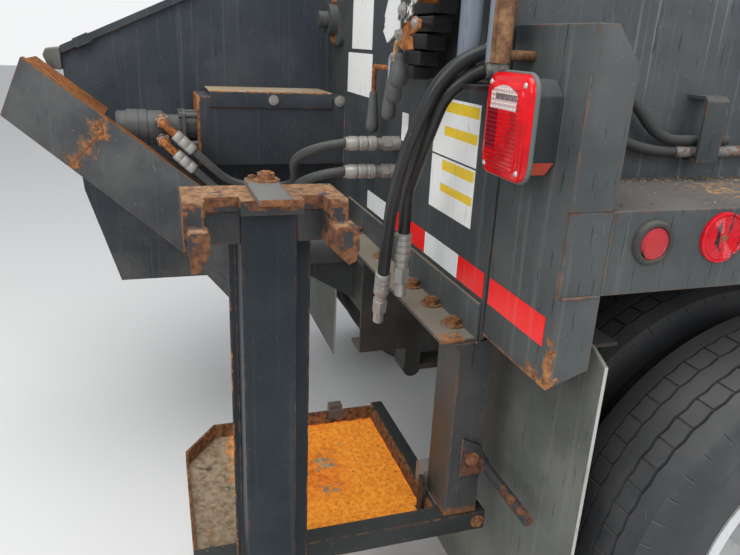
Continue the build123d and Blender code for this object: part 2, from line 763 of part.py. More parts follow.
# Upright tubes: the first on a bracket, the others turned in to the corner post, all clamped above
tube_y = rear_y - 55.0
tube_foot = 590.0
# Tubes: name, X, radius
tube_table = [
    ("first", wall_half - 53.0, 19.0),
    ("second", wall_half + 49.0, 16.0),
    ("third", wall_half + 72.0, 12.0),
]
foot_plate_z = 545.0
foot_plate_thick = 8.0
foot_plate_x = (wall_half - 86.0, wall_half + 36.0)
neck_radius = 15.0
turn_radius = 8.0
turn_z = tube_foot + 12.0
clamp_x = (wall_half - 86.0, wall_half + 91.0)
clamp_z = 880.0
clamp_thick = 10.0

with BuildPart() as hydraulic_tubes:
    for tube_name, tube_x, tube_radius in tube_table:
        with BuildSketch(Plane.XY.offset(tube_foot)):
            with Locations((tube_x, tube_y)):
                Circle(tube_radius)
        extrude(amount=body_top - tube_foot)
    for tube_name, tube_x, tube_radius in tube_table[1:]:
        with BuildSketch(Plane.XZ.offset(-rear_y)):
            with Locations((tube_x, turn_z)):
                Circle(turn_radius)
        extrude(amount=rear_y - tube_y)
    with BuildSketch(Plane.XY.offset(foot_plate_z + foot_plate_thick)):
        with Locations((tube_table[0][1], tube_y)):
            Circle(neck_radius)
    extrude(amount=tube_foot - foot_plate_z - foot_plate_thick)

with BuildPart() as tube_brackets:
    with BuildSketch(Plane.XY.offset(foot_plate_z)):
        with Locations((sum(foot_plate_x) / 2, (tube_y - 22.0 + rear_y) / 2)):
            Rectangle(foot_plate_x[1] - foot_plate_x[0], rear_y - tube_y + 22.0)
    extrude(amount=foot_plate_thick)
    with BuildSketch(Plane.XY.offset(clamp_z)):
        with Locations((sum(clamp_x) / 2, (tube_y - 24.0 + rear_y) / 2)):
            Rectangle(clamp_x[1] - clamp_x[0], rear_y - tube_y + 24.0)
        for tube_name, tube_x, tube_radius in tube_table:
            with Locations((tube_x, tube_y)):
                Circle(tube_radius, mode=Mode.SUBTRACT)
    extrude(amount=clamp_thick)

# Routes of the two hanging hoses, from their ports on the wall
hose_radius = 13.0
port_radius = 14.0
port_x = wall_half - 16.0
port_y = rear_y - 40.0
hose_front_route = [
    (port_x, port_y, 606.0),
    (port_x, port_y - 68.0, 606.0),
    (port_x - 38.0, port_y - 102.0, 462.0),
    (port_x - 116.0, port_y - 106.0, 345.0),
    (port_x - 158.0, port_y - 100.0, 262.0),
    (port_x - 197.0, port_y - 92.0, 150.0),
]
hose_rear_route = [
    (port_x, port_y, 575.0),
    (port_x, port_y - 50.0, 575.0),
    (port_x - 54.0, port_y - 66.0, 470.0),
    (port_x - 124.0, port_y - 67.0, 372.0),
    (port_x - 165.0, port_y - 63.0, 328.0),
    (port_x - 168.0, port_y - 62.0, 245.0),
]


def bend_radii(route):
    radii = []
    for before, here, after in zip(route, route[1:], route[2:]):
        run_in = [b - a for a, b in zip(before, here)]
        run_out = [b - a for a, b in zip(here, after)]
        length_in = hypot(*run_in)
        length_out = hypot(*run_out)
        turn = acos(sum(a * b for a, b in zip(run_in, run_out)) / length_in / length_out)
        radii.append(round(0.45 * min(length_in, length_out) / tan(turn / 2), 1))
    return radii


def hose(route, radius):
    radii = bend_radii(route)
    print("bend radii", radii)
    path = FilletPolyline(*route, radius=radii)
    start = Plane(origin=route[0], z_dir=[b - a for a, b in zip(route[0], route[1])])
    return sweep(start * Circle(radius), path=path)


hanging_hose_front = hose(hose_front_route, hose_radius)
hanging_hose_rear = hose(hose_rear_route, hose_radius)

# Crimped ends of the hanging hoses, with an open bore: name, route
crimp_table = [
    ("front", hose_front_route),
    ("rear", hose_rear_route),
]
# Stages of a crimped end: name, from, to, radius
crimp_stages = [
    ("sleeve", 0.0, 64.0, hose_radius + 4.0),
    ("neck", 64.0, 74.0, hose_radius),
    ("nut", 74.0, 112.0, hose_radius + 3.0),
    ("pipe", 112.0, 140.0, hose_radius - 1.0),
]
crimp_bore = 7.0
crimp_bore_depth = 40.0
with BuildPart() as hanging_hose_ends:
    for crimp_name, crimp_route in crimp_table:
        crimp_run = [b - a for a, b in zip(crimp_route[-2], crimp_route[-1])]
        crimp_plane = Plane(origin=crimp_route[-1], z_dir=crimp_run)
        for stage_name, stage_from, stage_to, stage_radius in crimp_stages:
            with BuildSketch(crimp_plane.offset(stage_from)):
                Circle(stage_radius)
            extrude(amount=stage_to - stage_from)
        with BuildSketch(crimp_plane.offset(crimp_stages[-1][2] - crimp_bore_depth)):
            Circle(crimp_bore)
        extrude(amount=crimp_bore_depth, mode=Mode.SUBTRACT)

# Drive box with its angle cover
drive_x = (hopper_in, hopper_in + 190.0)
drive_y = (rear_y - 458.0, rear_y)
drive_z = (238.0, 442.0)
cover_y = (rear_y - 421.0, rear_y - 45.0)
cover_z = (drive_z[1] - 31.0, drive_z[1] + 17.0)
motor_x = drive_x[1] - 55.0
motor_z = 343.0

with BuildPart() as drive_box:
    with BuildSketch(Plane.XY.offset(drive_z[0])):
        with Locations((sum(drive_x) / 2, sum(drive_y) / 2)):
            Rectangle(drive_x[1] - drive_x[0], drive_y[1] - drive_y[0])
    extrude(amount=drive_z[1] - drive_z[0])
    with BuildSketch(Plane.XZ.offset(-cover_y[1])):
        Polygon(
            (drive_x[0], drive_z[1]),
            (drive_x[0], cover_z[1]),
            (drive_x[1] + sheet, cover_z[1]),
            (drive_x[1] + sheet, cover_z[0]),
            (drive_x[1], cover_z[0]),
            (drive_x[1], cover_z[1] - sheet),
            (drive_x[0] + sheet, cover_z[1] - sheet),
            (drive_x[0] + sheet, drive_z[1]),
            align=None,
        )
    extrude(amount=cover_y[1] - cover_y[0])

# Hydraulic motor: name, from and to behind the drive box, radius
motor_bands = [
    ("spigot", 0.0, 34.0, 30.0),
    ("neck", 44.0, 97.0, 38.0),
    ("body", 97.0, 142.0, 52.0),
    ("rotor", 142.0, 206.0, 55.0),
    ("end cap", 206.0, 231.0, 50.0),
]
motor_flange = (34.0, 44.0)
flange_size = 108.0
flange_post = 42.0
flange_post_radius = 9.0

with BuildPart() as hydraulic_motor:
    for motor_name, motor_from, motor_to, motor_radius in motor_bands:
        with BuildSketch(Plane.XZ.offset(motor_from - drive_y[0])):
            with Locations((motor_x, motor_z)):
                Circle(motor_radius)
        extrude(amount=motor_to - motor_from)
    with BuildSketch(Plane.XZ.offset(motor_flange[0] - drive_y[0])):
        with Locations((motor_x, motor_z)):
            RectangleRounded(flange_size, flange_size, 12.0)
    extrude(amount=motor_flange[1] - motor_flange[0])
    with BuildSketch(Plane.XZ.offset(-drive_y[0])):
        with Locations((motor_x, motor_z)):
            with GridLocations(2 * flange_post, 2 * flange_post, 2, 2):
                Circle(flange_post_radius)
    extrude(amount=motor_flange[0])

# Elbows on the motor's ports: name, level
port_gap_y = drive_y[0] - 100.0
elbow_table = [("upper", motor_z + 26.0), ("lower", motor_z - 29.0)]
elbow_radius = 11.0
elbow_x = motor_x + 109.0
elbow_run = (0.0, 0.72, -0.694)
elbow_out = 44.0
motor_crimp_end = 114.0
boss_end_x = motor_x + 70.0
boss_radius = 18.0


def along_elbow(level, reach):
    return (elbow_x, port_gap_y + elbow_run[1] * reach, level + elbow_run[2] * reach)


with BuildPart() as motor_elbows:
    for elbow_name, elbow_z in elbow_table:
        elbow_start = (boss_end_x, port_gap_y, elbow_z)
        with BuildLine() as elbow_line:
            FilletPolyline(
                elbow_start, along_elbow(elbow_z, 0.0), along_elbow(elbow_z, elbow_out), radius=20.0
            )
        with BuildSketch(Plane(origin=elbow_start, z_dir=(1, 0, 0))):
            Circle(elbow_radius)
        sweep(path=elbow_line.line)
        with BuildSketch(Plane.YZ.offset(motor_x + 20.0)):
            with Locations((port_gap_y, elbow_z)):
                Circle(boss_radius)
        extrude(amount=boss_end_x - motor_x - 20.0)
    for motor_name, motor_from, motor_to, motor_radius in motor_bands:
        with BuildSketch(Plane.XZ.offset(motor_from - drive_y[0])):
            with Locations((motor_x, motor_z)):
                Circle(motor_radius)
        extrude(amount=motor_to - motor_from, mode=Mode.SUBTRACT)

# Motor hoses, from the elbows to two fittings on the wall
motor_hose_radius = 12.0
fitting_x = 432.0
fitting_end_y = rear_y - 140.0
fitting_radius = 18.0
hose_upper_route = [
    along_elbow(elbow_table[0][1], motor_crimp_end),
    along_elbow(elbow_table[0][1], motor_crimp_end + 90.0),
    (20.0, -1650.0, 200.0),
    (250.0, -1596.0, 262.0),
    (fitting_x, fitting_end_y - 88.0, 378.0),
    (fitting_x, fitting_end_y, 378.0),
]
hose_lower_route = [
    along_elbow(elbow_table[1][1], motor_crimp_end),
    along_elbow(elbow_table[1][1], motor_crimp_end + 90.0),
    (30.0, -1640.0, 150.0),
    (280.0, -1580.0, 206.0),
    (fitting_x, fitting_end_y - 82.0, 309.0),
    (fitting_x, fitting_end_y, 309.0),
]
motor_hoses = Compound(
    children=[
        hose(hose_upper_route, motor_hose_radius),
        hose(hose_lower_route, motor_hose_radius),
    ]
)

# Steel hose fittings: ports of the hanging hoses, wall fittings and crimps of the motor hoses
with BuildPart() as hose_fittings:
    with BuildSketch(Plane.XZ.offset(-rear_y)):
        for port_z in (hose_front_route[0][2], hose_rear_route[0][2]):
            with Locations((port_x, port_z)):
                Circle(port_radius)
    extrude(amount=rear_y - port_y)
    with BuildSketch(Plane.XZ.offset(-rear_y)):
        for fitting_z in (hose_lower_route[-1][2], hose_upper_route[-1][2]):
            with Locations((fitting_x, fitting_z)):
                Circle(fitting_radius)
    extrude(amount=rear_y - fitting_end_y)
    for elbow_name, elbow_z in elbow_table:
        with BuildSketch(Plane(origin=along_elbow(elbow_z, elbow_out), z_dir=elbow_run)):
            Circle(motor_hose_radius + 5.0)
        extrude(amount=motor_crimp_end - elbow_out)

# Flange bearing on the wall beside the hopper: name, from, to, radius
bearing_x = hopper_in + 100.0
bearing_z = 675.0
bearing_bands = [("boss", 18.0, 44.0, 46.0), ("shaft", 44.0, 74.0, 25.0)]
with BuildPart() as flange_bearing:
    with BuildSketch(Plane.XZ.offset(-rear_y)):
        with Locations((bearing_x, bearing_z)):
            RectangleRounded(110.0, 150.0, 25.0)
    extrude(amount=bearing_bands[0][1])
    for band_name, band_from, band_to, band_radius in bearing_bands:
        with BuildSketch(Plane.XZ.offset(-rear_y + band_from)):
            with Locations((bearing_x, bearing_z)):
                Circle(band_radius)
        extrude(amount=band_to - band_from)

# Two hoses out of the corner post that drop to a rusty pipe along the shelf
pipe_x = side_x + 28.0
pipe_z = 441.0
pipe_radius = 11.0
pipe_start_y = -1040.0
shelf_hose_radius = 10.0
shelf_hose_z = pipe_z + pipe_radius + shelf_hose_radius + 0.2
shelf_hose_upper_route = [
    (pipe_x, post_front_y, 588.0),
    (pipe_x, -1250.0, 588.0),
    (pipe_x, -1165.0, 548.0),
    (pipe_x, -1098.0, 492.0),
    (pipe_x, -1036.0, shelf_hose_z),
    (pipe_x, -920.0, shelf_hose_z),
]
shelf_hose_lower_route = [
    (pipe_x, post_front_y, 500.0),
    (pipe_x, -1245.0, 500.0),
    (pipe_x, -1120.0, pipe_z),
    (pipe_x, pipe_start_y, pipe_z),
]
shelf_hoses = Compound(
    children=[
        hose(shelf_hose_upper_route, shelf_hose_radius),
        hose(shelf_hose_lower_route, shelf_hose_radius),
    ]
)

with BuildPart() as shelf_pipe:
    with BuildSketch(Plane.XZ.offset(-pipe_start_y)):
        with Locations((pipe_x, pipe_z)):
            Circle(pipe_radius)
    extrude(amount=pipe_start_y)

strap_y = (-1005.0, -955.0)
strap_x = pipe_x + 18.0
with BuildPart() as pipe_strap:
    with BuildSketch(Plane.XZ.offset(-strap_y[1])):
        Polygon(
            (side_x, 545.0),
            (side_x, 539.0),
            (strap_x - 6.0, 539.0),
            (strap_x, 533.0),
            (strap_x, pipe_z - pipe_radius),
            (pipe_x - 12.0, pipe_z - pipe_radius),
            (pipe_x - 12.0, pipe_z - pipe_radius - sheet),
            (strap_x + sheet, pipe_z - pipe_radius - sheet),
            (strap_x + sheet, 536.0),
            (strap_x - 3.0, 545.0),
            align=None,
        )
    extrude(amount=strap_y[1] - strap_y[0])

# Container arm: a deep channel hinged beside the hopper
arm_x = (-62.0, -6.0)
arm_pivot_y = -1760.0
arm_pivot_z = -140.0
arm_skin = 8.0
arm_outline = [
    (-2305.0, 538.0),
    (-1855.0, 183.0),
    (-1712.0, -95.0),
    (-1712.0, -180.0),
    (-1770.0, -200.0),
    (-1902.0, -36.0),
    (-2371.0, 389.0),
]
arm_pin_radius = 20.0
arm_bore_radius = 21.0
# The top flange is wide behind the motor, and ends short of it
wide_flange_x = arm_x[0] - 176.0
wide_flange = [
    (-2300.0, 534.0),
    (-2115.0, 388.1),
    (-2120.0, 381.8),
    (-2305.0, 527.8),
]

with BuildPart() as container_arm:
    with BuildSketch(Plane.YZ.offset(arm_x[0])):
        Polygon(*arm_outline, align=None)
    extrude(amount=arm_x[1] - arm_x[0])
    with BuildSketch(Plane.YZ.offset(arm_x[0])):
        Polygon(*arm_outline, align=None)
        offset(amount=-arm_skin, kind=Kind.INTERSECTION, mode=Mode.REPLACE)
        with Locations((arm_pivot_y, arm_pivot_z)):
            Circle(34.0, mode=Mode.SUBTRACT)
    extrude(amount=arm_x[1] - arm_x[0] - arm_skin, mode=Mode.SUBTRACT)
    with BuildSketch(Plane.YZ.offset(arm_x[0])):
        with Locations((arm_pivot_y, arm_pivot_z)):
            Circle(arm_bore_radius)
    extrude(amount=arm_x[1] - arm_x[0], mode=Mode.SUBTRACT)
    with BuildSketch(Plane.YZ.offset(wide_flange_x)):
        Polygon(*wide_flange, align=None)
    extrude(amount=arm_x[1] - wide_flange_x)

# Pin bracket of the container arm: name, X from, X to, radius
arm_pin_steps = [
    ("boss", hopper_in, arm_x[0] - 5.0, 45.0),
    ("pin", arm_x[0] - 5.0, arm_x[1] + 1.0, arm_pin_radius),
    ("cap", arm_x[1] + 1.0, arm_x[1] + 9.0, 32.0),
]
with BuildPart() as container_arm_pin:
    for step_name, step_from, step_to, step_radius in arm_pin_steps:
        with BuildSketch(Plane.YZ.offset(step_from)):
            with Locations((arm_pivot_y, arm_pivot_z)):
                Circle(step_radius)
        extrude(amount=step_to - step_from)

# Cart lifter: pivot on the rear crossmember, slanted arm, mast and saddle
lift_x = 90.0
lift_z = 10.0
hub_y = (-1735.0, -1648.0)
lift_pin_radius = 25.0
lift_bore_radius = 26.0
# Pivot: name, Y from, Y to, radius
lift_pin_steps = [
    ("tube", rear_y, hub_y[1] + 6.0, 55.0),
    ("pin", hub_y[1] + 6.0, hub_y[0] - 1.0, lift_pin_radius),
    ("cap", hub_y[0] - 1.0, hub_y[0] - 11.0, 38.0),
]
with BuildPart() as lifter_pivot:
    for step_name, step_from, step_to, step_radius in lift_pin_steps:
        with BuildSketch(Plane.XZ.offset(-step_from)):
            with Locations((lift_x, lift_z)):
                Circle(step_radius)
        extrude(amount=step_from - step_to)
    with BuildSketch(Plane.YZ.offset(lift_x - 6.0)):
        Polygon((rear_y, -170.0), (rear_y, 10.0), (-1620.0, 10.0), (-1620.0, -40.0), align=None)
    extrude(amount=12.0)

mast_x = (tray_x[1] + 10.0, tray_x[1] + 20.0)
mast_y = (-1879.0, -1743.0)
mast_z = (-790.0, 371.0)
mast_tube_x = mast_x[1] + 70.0
mast_tube_y = (-1866.0, -1780.0)
arm_half = 30.0
arm_height = 80.0
arm_foot_y = -1692.0
arm_head_y = -1811.0

with BuildPart() as lifter_arm:
    with BuildSketch(Plane.XY.offset(lift_z - arm_height / 2)):
        Polygon(
            (lift_x, arm_foot_y - arm_half),
            (mast_x[0], arm_head_y - arm_half),
            (mast_x[0], arm_head_y + arm_half),
            (lift_x, arm_foot_y + arm_half),
            align=None,
        )
    extrude(amount=arm_height)
    with BuildSketch(Plane.XZ.offset(-hub_y[1])):
        with Locations((lift_x, lift_z)):
            Circle(58.0)
    extrude(amount=hub_y[1] - hub_y[0])
    with BuildSketch(Plane.XZ.offset(-hub_y[1] - 10.0)):
        with Locations((lift_x, lift_z)):
            Circle(lift_bore_radius)
    extrude(amount=hub_y[1] - hub_y[0] + 20.0, mode=Mode.SUBTRACT)

mast_wall = 8.0
with BuildPart() as lifter_mast:
    with BuildSketch(Plane.XY.offset(mast_z[0])):
        with Locations((sum(mast_x) / 2, sum(mast_y) / 2)):
            Rectangle(mast_x[1] - mast_x[0], mast_y[1] - mast_y[0])
        with Locations(((mast_x[1] + mast_tube_x) / 2, sum(mast_tube_y) / 2)):
            Rectangle(mast_tube_x - mast_x[1], mast_tube_y[1] - mast_tube_y[0])
            Rectangle(
                mast_tube_x - mast_x[1] - 2 * mast_wall,
                mast_tube_y[1] - mast_tube_y[0] - 2 * mast_wall,
                mode=Mode.SUBTRACT,
            )
    extrude(amount=mast_z[1] - mast_z[0])

# Saddle: top plate, two gussets, two thick ears and a tapered hook tooth on each ear
saddle_x = (mast_x[0] + 5.0, mast_x[0] + 115.0)
saddle_y = (-1949.0, -1712.0)
saddle_top = mast_z[1] + 22.0
saddle_thick = saddle_top - mast_z[1]
ear_thick = 28.0
ear_outline = [
    (saddle_x[0] + 20.0, saddle_top),
    (saddle_x[1], saddle_top),
    (saddle_x[1] + 6.0, saddle_top - 6.0),
    (saddle_x[1] + 6.0, saddle_top - 66.0),
    (saddle_x[1] - 7.0, saddle_top - 76.0),
    (saddle_x[1] - 35.0, saddle_top - 71.0),
    (saddle_x[0] + 35.0, saddle_top - 43.0),
    (saddle_x[0] + 20.0, saddle_top - 43.0),
]
tooth_x = (saddle_x[1] - 1.0, saddle_x[1] + 37.0)
left_tooth = [
    (-1945.0, 355.0),
    (-1941.0, 359.0),
    (-1918.0, 359.0),
    (-1915.0, 355.0),
    (-1915.0, 330.0),
    (-1931.0, 302.0),
    (-1942.0, 301.0),
]
right_tooth = [
    (-1739.0, 356.0),
    (-1735.0, 360.0),
    (-1707.0, 360.0),
    (-1703.0, 356.0),
    (-1702.0, 324.0),
    (-1708.0, 306.0),
    (-1718.0, 302.0),
    (-1739.0, 322.0),
]
# Gussets between the mast tube and the ears: name, Y from, Y to
gusset_table = [
    ("left", saddle_y[0] + ear_thick, mast_tube_y[0]),
    ("right", mast_tube_y[1], saddle_y[1] - ear_thick),
]
gusset_x = (mast_tube_x - 12.0, mast_tube_x - 4.0)
gusset_low = 319.0
notch_reach = 30.0

with BuildPart() as lifter_saddle:
    with BuildSketch(Plane.XY.offset(mast_z[1])):
        with Locations((sum(saddle_x) / 2, sum(saddle_y) / 2)):
            Rectangle(saddle_x[1] - saddle_x[0], saddle_y[1] - saddle_y[0])
        for notch_name, notch_y0, notch_y1 in gusset_table:
            with Locations((saddle_x[1], (notch_y0 + notch_y1) / 2)):
                Rectangle(2 * notch_reach, notch_y1 - notch_y0 - sheet, mode=Mode.SUBTRACT)
    extrude(amount=saddle_thick)
    for ear_y in (saddle_y[0] + ear_thick, saddle_y[1]):
        with BuildSketch(Plane.XZ.offset(-ear_y)):
            Polygon(*ear_outline, align=None)
        extrude(amount=ear_thick)
    for tooth_outline in (left_tooth, right_tooth):
        with BuildSketch(Plane.YZ.offset(tooth_x[0])):
            Polygon(*tooth_outline, align=None)
        extrude(amount=tooth_x[1] - tooth_x[0])
    for gusset_name, gusset_y0, gusset_y1 in gusset_table:
        with BuildSketch(Plane.YZ.offset(gusset_x[0])):
            with Locations(((gusset_y0 + gusset_y1) / 2, (gusset_low + mast_z[1]) / 2)):
                Rectangle(gusset_y1 - gusset_y0, mast_z[1] - gusset_low)
        extrude(amount=gusset_x[1] - gusset_x[0])

tab_x = (saddle_x[0] - 17.0, saddle_x[1] + 37.0)
tab_y = -1824.0
tab_width = 50.0
tab_thick = 9.0
with BuildPart() as latch_tab:
    with BuildSketch(Plane.XY.offset(saddle_top)):
        with Locations((sum(tab_x) / 2, tab_y)):
            RectangleRounded(tab_x[1] - tab_x[0], tab_width, 8.0)
    extrude(amount=tab_thick)
    with BuildSketch(Plane.XY.offset(saddle_top + tab_thick)):
        with Locations((tab_x[0] + 28.0, tab_y + 6.0)):
            RegularPolygon(14.0, 6)
    extrude(amount=10.0)

nodes = {
    "frame_rails": frame_rails.part,
    "crossmembers": crossmembers.part,
    "body_floor": body_floor.part,
    "side_walls": side_walls.part,
    "fenders": fenders.part,
    "corner_posts": corner_posts.part,
    "rear_wall": rear_wall.part,
    "hopper": hopper.part,
    "hopper_bumper": hopper_bumper.part,
    "rear_axle": rear_axle.part,
    "brake_plates": brake_plates.part,
    "wheel_right": wheel_right.part,
    "wheel_left": wheel_left.part,
    "tyres_right": tyres_right.part,
    "tyres_left": tyres_left.part,
    "leaf_springs": leaf_springs.part,
    "mud_flaps": mud_flaps.part,
    "flap_brackets": flap_brackets.part,
    "tail_lamp_housings": tail_lamp_housings.part,
    "tail_lamp_lenses": tail_lamp_lenses.part,
    "marker_lamp_grommets": marker_lamp_grommets.part,
    "marker_lamp_lenses": marker_lamp_lenses.part,
    "side_reflectors": side_reflectors.part,
    "tape_red": tape_red.part,
    "tape_white": tape_white.part,
    "blank_plates": blank_plates.part,
    "wall_angle": wall_angle.part,
    "step_column": step_column.part,
    "step_tray": step_tray.part,
    "valve_block": valve_block.part,
    "lever_bars": lever_bars.part,
    "lever_grips": lever_grips.part,
    "lever_guard": lever_guard.part,
    "hydraulic_tubes": hydraulic_tubes.part,
    "tube_brackets": tube_brackets.part,
    "hanging_hose_front": hanging_hose_front,
    "hanging_hose_rear": hanging_hose_rear,
    "hanging_hose_ends": hanging_hose_ends.part,
    "drive_box": drive_box.part,
    "hydraulic_motor": hydraulic_motor.part,
    "motor_elbows": motor_elbows.part,
    "motor_hoses": motor_hoses,
    "hose_fittings": hose_fittings.part,
    "flange_bearing": flange_bearing.part,
    "shelf_hoses": shelf_hoses,
    "shelf_pipe": shelf_pipe.part,
    "pipe_strap": pipe_strap.part,
    "container_arm": container_arm.part,
    "container_arm_pin": container_arm_pin.part,
    "lifter_pivot": lifter_pivot.part,
    "lifter_arm": lifter_arm.part,
    "lifter_mast": lifter_mast.part,
    "lifter_saddle": lifter_saddle.part,
    "latch_tab": latch_tab.part,
}
for node_name, node_part in nodes.items():
    node_part.label = node_name
    export_step(node_part, "parts/" + node_name + ".step")
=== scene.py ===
import bmesh
import bpy
import math
from mathutils import Matrix, Vector


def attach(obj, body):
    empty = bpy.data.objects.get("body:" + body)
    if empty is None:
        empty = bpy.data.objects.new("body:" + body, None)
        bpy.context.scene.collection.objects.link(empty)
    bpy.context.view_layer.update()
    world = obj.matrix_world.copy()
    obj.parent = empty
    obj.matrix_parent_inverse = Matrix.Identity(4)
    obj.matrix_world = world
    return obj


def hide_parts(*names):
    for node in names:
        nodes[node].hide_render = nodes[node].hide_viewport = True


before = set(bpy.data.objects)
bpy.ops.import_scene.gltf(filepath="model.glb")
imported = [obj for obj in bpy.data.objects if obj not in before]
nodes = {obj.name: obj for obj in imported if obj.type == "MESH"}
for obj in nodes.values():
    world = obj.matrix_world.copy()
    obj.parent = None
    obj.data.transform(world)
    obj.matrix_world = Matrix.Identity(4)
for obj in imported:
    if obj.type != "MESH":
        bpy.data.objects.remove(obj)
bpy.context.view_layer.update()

# Camera and studio.
# The photographer stood close behind the curb-side corner of the truck and
# looked forward and down across the step, so the lens is wide and near.
photo_width = 740
focal_pixels = 654.8
camera_place = Vector((1.990, -1.975, 0.610))
look_right = Vector((0.2994, 0.9532, 0.0428))
look_down = Vector((0.3330, -0.0623, -0.9409))
look_forward = Vector((-0.8941, 0.2959, -0.3361))
scene = bpy.context.scene
camera_data = bpy.data.cameras.new("camera")
camera_data.sensor_width = 36.0
camera_data.lens = focal_pixels / photo_width * camera_data.sensor_width
camera_data.clip_start = 0.02
camera = bpy.data.objects.new("camera", camera_data)
scene.collection.objects.link(camera)
turn = Matrix((look_right, -look_down, -look_forward)).transposed()
camera.matrix_world = Matrix.Translation(camera_place) @ turn.to_4x4()
scene.camera = camera
scene.view_settings.view_transform = "Standard"

ground_z = -0.8905
floor_half = 30.0
floor_mesh = bpy.data.meshes.new("studio_floor")
floor_mesh.from_pydata(
    [(-floor_half, -floor_half, ground_z), (floor_half, -floor_half, ground_z),
     (floor_half, floor_half, ground_z), (-floor_half, floor_half, ground_z)],
    [], [(0, 1, 2, 3)])
studio_floor = bpy.data.objects.new("studio_floor", floor_mesh)
scene.collection.objects.link(studio_floor)
floor_finish = bpy.data.materials.new("studio_floor")
floor_finish.use_nodes = True
floor_shader = floor_finish.node_tree.nodes["Principled BSDF"]
floor_shader.inputs["Base Color"].default_value = (0.72, 0.72, 0.71, 1)
floor_shader.inputs["Roughness"].default_value = 0.9
floor_mesh.materials.append(floor_finish)

world = bpy.data.worlds.new("sky")
scene.world = world
world.use_nodes = True
sky = world.node_tree
sky_back = sky.nodes["Background"]
sky_back.inputs["Color"].default_value = (0.93, 0.96, 1.0, 1)
sky_back.inputs["Strength"].default_value = 0.62
seen = sky.nodes.new("ShaderNodeBackground")
seen.inputs["Color"].default_value = (0.9, 0.91, 0.92, 1)
seen.inputs["Strength"].default_value = 1.0
path_kind = sky.nodes.new("ShaderNodeLightPath")
sky_mix = sky.nodes.new("ShaderNodeMixShader")
sky.links.new(path_kind.outputs["Is Camera Ray"], sky_mix.inputs[0])
sky.links.new(sky_back.outputs[0], sky_mix.inputs[1])
sky.links.new(seen.outputs[0], sky_mix.inputs[2])
sky.links.new(sky_mix.outputs[0], sky.nodes["World Output"].inputs[0])

# Lamps: name, place, aimed at, size, power
for lamp_name, lamp_place, lamp_aim, lamp_size, lamp_power in [
    ("overhead", (1.5, -2.5, 5.0), (0.3, -1.5, 0.0), 4.0, 210.0),
    ("rear", (3.5, -5.5, 2.6), (0.4, -1.4, 0.1), 3.0, 110.0),
    ("curb", (5.0, 0.5, 2.4), (1.0, -1.0, 0.0), 2.5, 70.0),
]:
    lamp_data = bpy.data.lights.new(lamp_name, "AREA")
    lamp_data.size = lamp_size
    lamp_data.energy = lamp_power
    lamp = bpy.data.objects.new(lamp_name, lamp_data)
    lamp.location = lamp_place
    aim = Vector(lamp_aim) - Vector(lamp_place)
    lamp.rotation_euler = aim.to_track_quat("-Z", "Y").to_euler()
    scene.collection.objects.link(lamp)

# Weather on the sheet metal.
# Every painted sheet has road dust, run-down streaks, pale scratches and rust
# that starts at its edges. One shader group makes them for all the finishes.

# From here on, tables give lengths in millimetres and colours in thousandths
per_metre = 1000
full_colour = 1000


def metres(*lengths):
    return tuple(length / per_metre for length in lengths)


def colour(parts):
    return tuple(part / full_colour for part in parts) + (1.0,)


class Net:
    # A node tree, with short words for what its sockets are put through
    def __init__(self, tree):
        self.tree = tree

    def wire(self, value, socket):
        if isinstance(value, bpy.types.NodeSocket):
            self.tree.links.new(value, socket)
        else:
            socket.default_value = value

    def outputs(self, kind, inputs, **settings):
        node = self.tree.nodes.new(kind)
        for key, value in settings.items():
            setattr(node, key, value)
        for key, value in inputs.items():
            self.wire(value, node.inputs[key])
        return node.outputs

    def node(self, kind, inputs, **settings):
        return self.outputs(kind, inputs, **settings)[0]

    def sums(self, kind, first, second=0.0, clamp=False):
        return self.node("ShaderNodeMath", {0: first, 1: second}, operation=kind, use_clamp=clamp)

    def times(self, first, second, clamp=False):
        return self.sums("MULTIPLY", first, second, clamp)

    def plus(self, first, second, clamp=False):
        return self.sums("ADD", first, second, clamp)

    def minus(self, first, second):
        return self.sums("SUBTRACT", first, second)

    def most(self, first, second, clamp=False):
        return self.sums("MAXIMUM", first, second, clamp)

    def spread(self, value, low, high, to_low=0.0, to_high=1.0):
        ends = {"From Min": low, "From Max": high, "To Min": to_low, "To Max": to_high}
        return self.node("ShaderNodeMapRange", {"Value": value, **ends}, interpolation_type="SMOOTHSTEP")

    def blend(self, amount, first, second):
        first_colour, second_colour, colour_out = 6, 7, 2
        inputs = {"Factor": amount, first_colour: first, second_colour: second}
        return self.outputs("ShaderNodeMix", inputs, data_type="RGBA")[colour_out]

    def where(self, kind="Object"):
        return self.outputs("ShaderNodeTexCoord", {})[kind]

    def axes(self, vector):
        return self.outputs("ShaderNodeSeparateXYZ", {0: vector})

    def toward(self, first, second):
        both = {0: first, 1: second}
        return self.outputs("ShaderNodeVectorMath", both, operation="DOT_PRODUCT")["Value"]

    def speckle(self, place, scale, detail=4.0, rough=0.55, stretch=(1, 1, 1)):
        stretched = self.node("ShaderNodeMapping", {"Vector": place, "Scale": stretch})
        inputs = {"Vector": stretched, "Scale": scale, "Detail": detail, "Roughness": rough}
        return self.node("ShaderNodeTexNoise", inputs)


def new_group(name, tree_kind, inputs, outputs):
    # Each socket is a name, a kind and, for most inputs, the value that it starts from
    group = bpy.data.node_groups.new(name, tree_kind)
    for side, sockets in (("INPUT", inputs), ("OUTPUT", outputs)):
        for socket_name, kind, *start in sockets:
            socket = group.interface.new_socket(socket_name, in_out=side, socket_type="NodeSocket" + kind)
            if start:
                socket.default_value = start[0]
    given = group.nodes.new("NodeGroupInput").outputs
    made = group.nodes.new("NodeGroupOutput").inputs
    return Net(group), given, made


